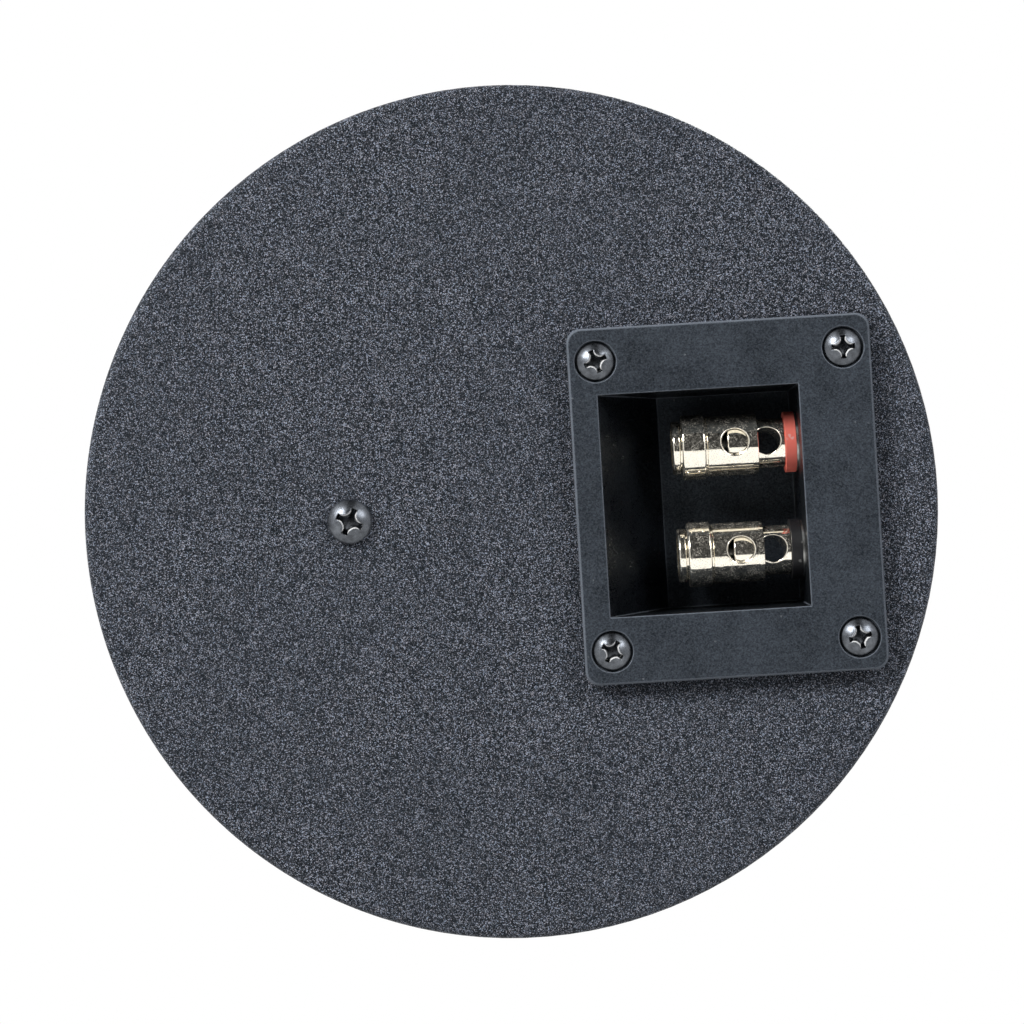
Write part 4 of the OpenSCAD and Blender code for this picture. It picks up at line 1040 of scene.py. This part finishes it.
class SPEAKER_OT_posts(StagePart, bpy.types.Operator):
    """Turns the posts and sleeves with their wire holes, and plates the steel pieces on them"""

    bl_idname = "speaker.posts"
    bl_label = "Binding posts"

    def execute(self, context):
        metals = context.scene.speaker_metals
        gold = gold_plate("pale_gold_plate", metals.gold[:], metals.gold_roughness)
        sleeve = drilled_lathe(*sleeve_outline(), SLEEVE_HOLE_AT, WIRE_HOLE_R, 3.7, 45, WIRE_HOLE_RIM)
        post = drilled_lathe(*post_outline(), POST_HOLE_AT, WIRE_HOLE_R, 3.2, 60, WIRE_HOLE_RIM)
        for side in ("red", "black"):
            seat = post_matrix(side) @ Matrix.Rotation(WIRE_HOLE_CLOCK, 4, "Z")
            for node, body, shape in (
                (f"{side}_sleeve", f"{side}_sleeve", sleeve),
                (f"{side}_post", SPEAKER, post),
            ):
                piece = add_piece(
                    f"{node}_turned", shape, seat, gold, body=body, stands_for=[node]
                )
                weld(piece, 38)
        zinc = plated_steel("bright_zinc", (0.62, 0.62, 0.6), 0.3)
        dress(zinc, "red_stem_screw", "black_stem_screw", "red_tag", "black_tag", "red_nut", "black_nut")
        dress(zinc, "red_washer", "black_washer", "board_nut")
        return {"FINISHED"}


class SPEAKER_OT_springs(StagePart, bpy.types.Operator):
    """Winds the two return springs"""

    bl_idname = "speaker.springs"
    bl_label = "Return springs"

    def execute(self, context):
        steel = plated_steel("spring_wire", (0.42, 0.36, 0.27), 0.28)
        turns, steps, radius, wire = 4.5, 36, 2.6, 0.225
        low, high = SPRING_FLOOR + wire, SPRING_TOP - wire
        for side in ("red", "black"):
            share = np.linspace(0, 1, int(turns * steps) + 1)
            angle = 2 * math.pi * turns * share
            path = np.stack([radius * np.cos(angle), radius * np.sin(angle), low + (high - low) * share], 1)
            coil = tube_mesh(path, wire, 10)
            seat = post_matrix(side)
            piece = add_piece(
                f"{side}_return_spring", coil, seat, steel,
                body=None, stands_for=[f"{side}_spring"],
            )
            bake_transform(piece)
        return {"FINISHED"}


class SPEAKER_OT_crossover(StagePart, bpy.types.Operator):
    """Finishes the crossover board and its parts"""

    bl_idname = "speaker.crossover"
    bl_label = "Crossover"

    def execute(self, context):
        dress(circuit_laminate("board_laminate"), "crossover_board")
        dress(fine_plastic("nylon_spacer", (0.72, 0.7, 0.64), 0.45), "board_spacer")
        dress(fine_plastic("bobbin_plastic", (0.02, 0.02, 0.022), 0.45), "inductor_bobbin", "woofer_terminal")
        dress(wound_wire("enamelled_copper", (0.62, 0.25, 0.09)), "inductor_coil")
        dress(fine_plastic("capacitor_sleeve", (0.02, 0.03, 0.09), 0.35), "woofer_capacitor")
        dress(fine_plastic("capacitor_tape", (0.62, 0.44, 0.08), 0.4), "tweeter_capacitor")
        dress(sand_paint("cement_body", (0.62, 0.6, 0.54), 0.0004, 0.00003), "resistor")
        return {"FINISHED"}


LEAD_ROUTES = {
    "red_lead": (
        (57.7, 13.6, 74.2), (57.4, 13.5, 70), (52.5, 13, 66.4), (40, 12, 65), (24, 10.5, 65.5),
        (11, 8.5, 69), (3, 7.2, 75), (1, 7, 82.1),
    ),
    "black_lead": (
        (58.9, -6.8, 74.2), (58.6, -6.8, 70), (53.5, -7, 66.4), (40, -7.4, 65), (24, -7.4, 65.5),
        (11, -7.2, 69), (3, -7, 75), (1, -7, 82.1),
    ),
    "woofer_lead": (
        (-18, -31.2, 20.9), (-21, -36.5, 21.6), (-23, -40.5, 25), (-23.6, -41.6, 34),
        (-22, -40, 48), (-15, -34, 62), (-8, -28, 73), (-6, -26, 82.1),
    ),
    "tweeter_lead": (
        (-50, -24, 82.1), (-52, -25, 74), (-57, -24, 58), (-60, -20, 38), (-60.6, -12, 20),
        (-60, -9.6, 9), (-60, -9.6, -1), (-57.5, -8.6, -5), (-48, -7.6, -6.1), (-30, -7.6, -6.1),
        (-19, -6.8, -5.6), (-14.6, -4, -3.6),
    ),
}


class SPEAKER_OT_leads(StagePart, bpy.types.Operator):
    """Lays the four leads inside the can as smooth insulated wires"""

    bl_idname = "speaker.leads"
    bl_label = "Leads"

    def execute(self, context):
        kinds = {
            "red_lead": ((0.5, 0.02, 0.015), 1.1, "red_wire"),
            "black_lead": ((0.012, 0.012, 0.014), 1.1, "black_wire"),
            "woofer_lead": ((0.3, 0.3, 0.31), 0.85, "grey_wire"),
            "tweeter_lead": ((0.12, 0.12, 0.13), 0.85, "grey_wire"),
        }
        for name, (colour, radius, slot) in kinds.items():
            sheath = fine_plastic(f"{name}_sheath", colour, 0.4, 0.0006)
            wire = tube_mesh(smooth_path(LEAD_ROUTES[name], 8), radius, 16)
            add_piece(f"{name}_wire", wire, bench_matrix(), sheath, stands_for=[name], sharp=60)
        return {"FINISHED"}


class SPEAKER_OT_wadding(StagePart, bpy.types.Operator):
    """Lines the can with lofty fibre wadding"""

    bl_idname = "speaker.wadding"
    bl_label = "Wadding"

    def execute(self, context):
        fibre = fibre_finish("polyester_fibre", (0.78, 0.78, 0.75), 0.0006, 0.0004)
        outer, inner, low, high = 78.6, 72.4, 14.4, 91.4
        around, along, loft = 220, 60, 0.45
        rng = np.random.default_rng(4)
        phases = rng.uniform(0, 2 * math.pi, (14, 2))
        waves = rng.integers(2, 24, (14, 2))

        def lumps(angle, share):
            total = np.zeros_like(angle)
            for (p, q), (m, n) in zip(phases, waves):
                total += np.sin(m * angle + p) * np.sin(n * math.pi * share + q) / math.sqrt(m + n)
            return total

        loop = full_turn(along)
        squared = np.sign(np.cos(loop)) * np.abs(np.cos(loop)) ** 0.45
        level = np.sign(np.sin(loop)) * np.abs(np.sin(loop)) ** 0.25
        angle, _ = np.meshgrid(full_turn(around), loop, indexing="ij")
        mid, half = (outer + inner) / 2, (outer - inner) / 2
        radius = mid + half * squared + np.where(squared < 0.5, loft, 0) * lumps(angle, level)
        radius = np.clip(radius, inner - 0.6, outer)
        z = (low + high) / 2 + (high - low) / 2 * level + 0 * angle
        points = np.stack([radius * np.cos(angle), radius * np.sin(angle), z], -1).reshape(-1, 3)
        lining = (points, turned_faces(around, along, closed=True))
        piece = add_piece(
            "wadding_lining", lining, bench_matrix(), fibre, stands_for=["damping_pad"]
        )
        return {"FINISHED"}


def radial_blend(piece):
    """Bakes the piece's place into its mesh."""
    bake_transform(piece)


class SPEAKER_OT_suspension(StagePart, bpy.types.Operator):
    """Builds the rubber surround and the cloth spider"""

    bl_idname = "speaker.suspension"
    bl_label = "Surround and spider"

    def execute(self, context):
        rubber = fine_plastic("surround_rubber", (0.012, 0.012, 0.013), 0.55, 0.0003)
        sheet, cone_edge, basket_edge, base = 0.6, 40.5, 57, 2.3
        roll_mid, roll, roll_steps = 47.75, 4.55, 28
        under = base - sheet
        outline = [(cone_edge, under), (roll_mid - roll - sheet / 2, under)]
        outline += arc(roll_mid, under, roll + sheet / 2, 180, 360, roll_steps)
        outline += [(basket_edge, under), (basket_edge, base)]
        outline += arc(roll_mid, under, roll - sheet / 2, 360, 180, roll_steps)
        outline.append((cone_edge, base))
        surround = add_piece(
            "rubber_surround", lathe(outline, 200, closed=True), bench_matrix(), rubber,
            body=None, stands_for=["surround"], sharp=50,
        )
        radial_blend(surround)
        weave = woven_cloth("spider_cloth", (0.6, 0.45, 0.2))
        coil_edge, landing_edge, last_wave, landing, cloth = 13.25, 36.4, 31.4, 17, 0.5
        waves, depth, steps = 4, 1.1, 97
        under = landing - cloth
        radii = np.linspace(coil_edge + 1.2, last_wave, steps)
        levels = under - depth * (1 - np.cos(np.linspace(0, waves * 2 * math.pi, steps))) / 2
        outline = [(coil_edge, under), *zip(radii, levels), (landing_edge, under), (landing_edge, landing)]
        outline += [*zip(radii[::-1], levels[::-1] + cloth), (coil_edge, landing)]
        spider = add_piece(
            "cloth_spider", lathe(outline, 160, closed=True), bench_matrix(), weave,
            body=None, stands_for=["spider"], sharp=50,
        )
        radial_blend(spider)
        return {"FINISHED"}


class SPEAKER_OT_woofer(StagePart, bpy.types.Operator):
    """Finishes the woofer: basket, motor, coil, cone and dust cap"""

    bl_idname = "speaker.woofer"
    bl_label = "Woofer"

    def execute(self, context):
        dress(fine_plastic("basket_lacquer", (0.015, 0.015, 0.017), 0.38, 0.0008), "driver_basket")
        dress(plated_steel("motor_zinc", (0.5, 0.5, 0.5), 0.35), "top_plate", "pole_yoke", "grille_magnets")
        dress(sand_paint("ferrite", (0.04, 0.04, 0.042), 0.0005, 0.00004), "magnet")
        dress(wound_wire("coil_wire", (0.6, 0.26, 0.1), wire=0.0002), "voice_coil")
        pulp = fibre_finish("cone_pulp", (0.02, 0.02, 0.022), 0.0009, 0.00008, 0.8, (1, 1, 1), 0.1)
        dress(pulp, "cone", "dust_cap")
        return {"FINISHED"}


class SPEAKER_OT_tweeter(StagePart, bpy.types.Operator):
    """Finishes the tweeter, its bridge and dome"""

    bl_idname = "speaker.tweeter"
    bl_label = "Tweeter"

    def execute(self, context):
        lacquer = fine_plastic("bridge_lacquer", (0.012, 0.012, 0.014), 0.4, 0.0006)
        dress(lacquer, "tweeter_bridge", "tweeter_body")
        dress(woven_cloth("dome_silk", (0.24, 0.25, 0.27), thread=0.00018), "tweeter_dome")
        return {"FINISHED"}


def hole_centres(pitch, limit):
    """Centres of a staggered field of holes that lie inside a circle."""
    rows = int(limit / pitch / ROW_STEP) + 2
    field = [
        (pitch * (i + 0.5 * (j % 2)), pitch * ROW_STEP * j)
        for j in range(-rows, rows + 1)
        for i in range(-rows - 1, rows + 2)
    ]
    return [centre for centre in field if math.hypot(*centre) <= limit]


def nearest_hole(spots, pitch, limit):
    """Distance from each spot to the nearest centre of that field."""
    own_row = np.rint(spots[:, 1] / (pitch * ROW_STEP))
    nearest = np.full(len(spots), np.inf)
    for step in (-1, 0, 1):
        row = own_row + step
        shift = 0.5 * (np.abs(row) % 2)
        column = np.rint(spots[:, 0] / pitch - shift)
        x, y = pitch * (column + shift), pitch * ROW_STEP * row
        gap = np.hypot(spots[:, 0] - x, spots[:, 1] - y)
        nearest = np.where(np.hypot(x, y) <= limit + 1e-6, np.minimum(nearest, gap), nearest)
    return nearest


def perforated_sheet(radius, rim_sides, pitch, hole_r, limit, sides=12):
    """Points and faces of the grille's flat front with the walls of its holes."""
    flat = [Vector((radius * math.cos(t), radius * math.sin(t))) for t in full_turn(rim_sides)]
    loops = [range(rim_sides)]
    for x, y in hole_centres(pitch, limit):
        loops.append(range(len(flat), len(flat) + sides))
        for k in range(sides):
            t = 2 * math.pi * (k + 0.5) / sides
            flat.append(Vector((x + hole_r * math.cos(t), y + hole_r * math.sin(t))))
    edges = [(loop[k], loop[(k + 1) % len(loop)]) for loop in loops for k in range(len(loop))]
    spots, _, triangles, *_ = delaunay_2d_cdt(flat, edges, [], 1, 1e-6)
    spots = np.array([tuple(spot) for spot in spots])
    gaps = nearest_hole(spots[np.array(triangles)].mean(1), pitch, limit)
    faces = [tuple(reversed(corners)) for corners, gap in zip(triangles, gaps) if gap > hole_r * 0.97]
    count = len(spots)
    points = [(x, y, z) for z in (GRILLE_BACK - GRILLE_T, GRILLE_BACK) for x, y in spots]
    for loop in loops[1:]:
        for k in range(sides):
            a, b = loop[k], loop[(k + 1) % sides]
            faces.append((a, b, b + count, a + count))
    return points, faces


def rolled_edge(inner):
    """(radius, z) points of the grille's edge, from its flat front round the fold to its back."""
    front, inside = GRILLE_BACK - GRILLE_T, GRILLE_R - GRILLE_T
    fold_end = front + GRILLE_FOLD
    outline = [(inner, front), (GRILLE_R - 0.25, front + 0.08), (GRILLE_R - 0.07, front + 0.25)]
    outline += [(GRILLE_R, front + 0.6), (GRILLE_R, fold_end), (inside, fold_end)]
    return outline + [(inside, GRILLE_BACK), (inner - 2, GRILLE_BACK)]


class SPEAKER_OT_front(StagePart, bpy.types.Operator):
    """Finishes the flange and perforates the grille"""

    bl_idname = "speaker.front"
    bl_label = "Flange and grille"

    def execute(self, context):
        sizes = context.scene.speaker_grille
        pitch, hole_r, border = sizes.pitch / MM, sizes.hole / MM / 2, sizes.border / MM
        rim_sides, flat_r = 256, GRILLE_R - 0.6
        dress(fine_plastic("flange_plastic", (0.72, 0.72, 0.7), 0.55, 0.0005), "front_baffle")
        paint = fine_plastic("grille_paint", (0.74, 0.74, 0.72), 0.6, 0.0004, 0.00002)
        sheet = perforated_sheet(flat_r, rim_sides, pitch, hole_r, GRILLE_R - border - hole_r)
        grille = joined([sheet, lathe(rolled_edge(flat_r), rim_sides)])
        add_piece(
            "perforated_grille", grille, bench_matrix(), paint,
            stands_for=["grille"], sharp=40,
        )
        return {"FINISHED"}


OPERATORS = (
    SPEAKER_OT_camera,
    SPEAKER_OT_studio,
    SPEAKER_OT_can,
    SPEAKER_OT_cup,
    SPEAKER_OT_rear_screws,
    SPEAKER_OT_posts,
    SPEAKER_OT_springs,
    SPEAKER_OT_crossover,
    SPEAKER_OT_leads,
    SPEAKER_OT_wadding,
    SPEAKER_OT_suspension,
    SPEAKER_OT_woofer,
    SPEAKER_OT_tweeter,
    SPEAKER_OT_front,
)
SETTINGS = {
    "speaker_can": CanLooks,
    "speaker_cup": CupLooks,
    "speaker_metals": MetalLooks,
    "speaker_screws": ScrewSizes,
    "speaker_grille": GrilleSizes,
    "speaker_studio": StudioSetup,
}


class SPEAKER_PT_panel(bpy.types.Panel):
    """Sizes and colours, and a button for each group of pieces"""

    bl_idname = "SPEAKER_PT_panel"
    bl_label = "In-wall speaker"
    bl_space_type = "VIEW_3D"
    bl_region_type = "UI"
    bl_category = "Speaker"

    def draw(self, context):
        for name, group in SETTINGS.items():
            box = self.layout.box()
            box.label(text=group.__doc__)
            for key in group.__annotations__:
                box.prop(getattr(context.scene, name), key)
        for operator in OPERATORS:
            self.layout.operator(operator.bl_idname)


def register():
    for group in (*SETTINGS.values(), *OPERATORS, SPEAKER_PT_panel):
        bpy.utils.register_class(group)
    for name, group in SETTINGS.items():
        setattr(bpy.types.Scene, name, PointerProperty(type=group))


def unregister():
    for name in SETTINGS:
        delattr(bpy.types.Scene, name)
    for group in (SPEAKER_PT_panel, *reversed(OPERATORS), *reversed(SETTINGS.values())):
        bpy.utils.unregister_class(group)


def main():
    register()
    for operator in OPERATORS:
        group, name = operator.bl_idname.split(".")
        getattr(getattr(bpy.ops, group), name)()


if __name__ == "__main__":
    main()
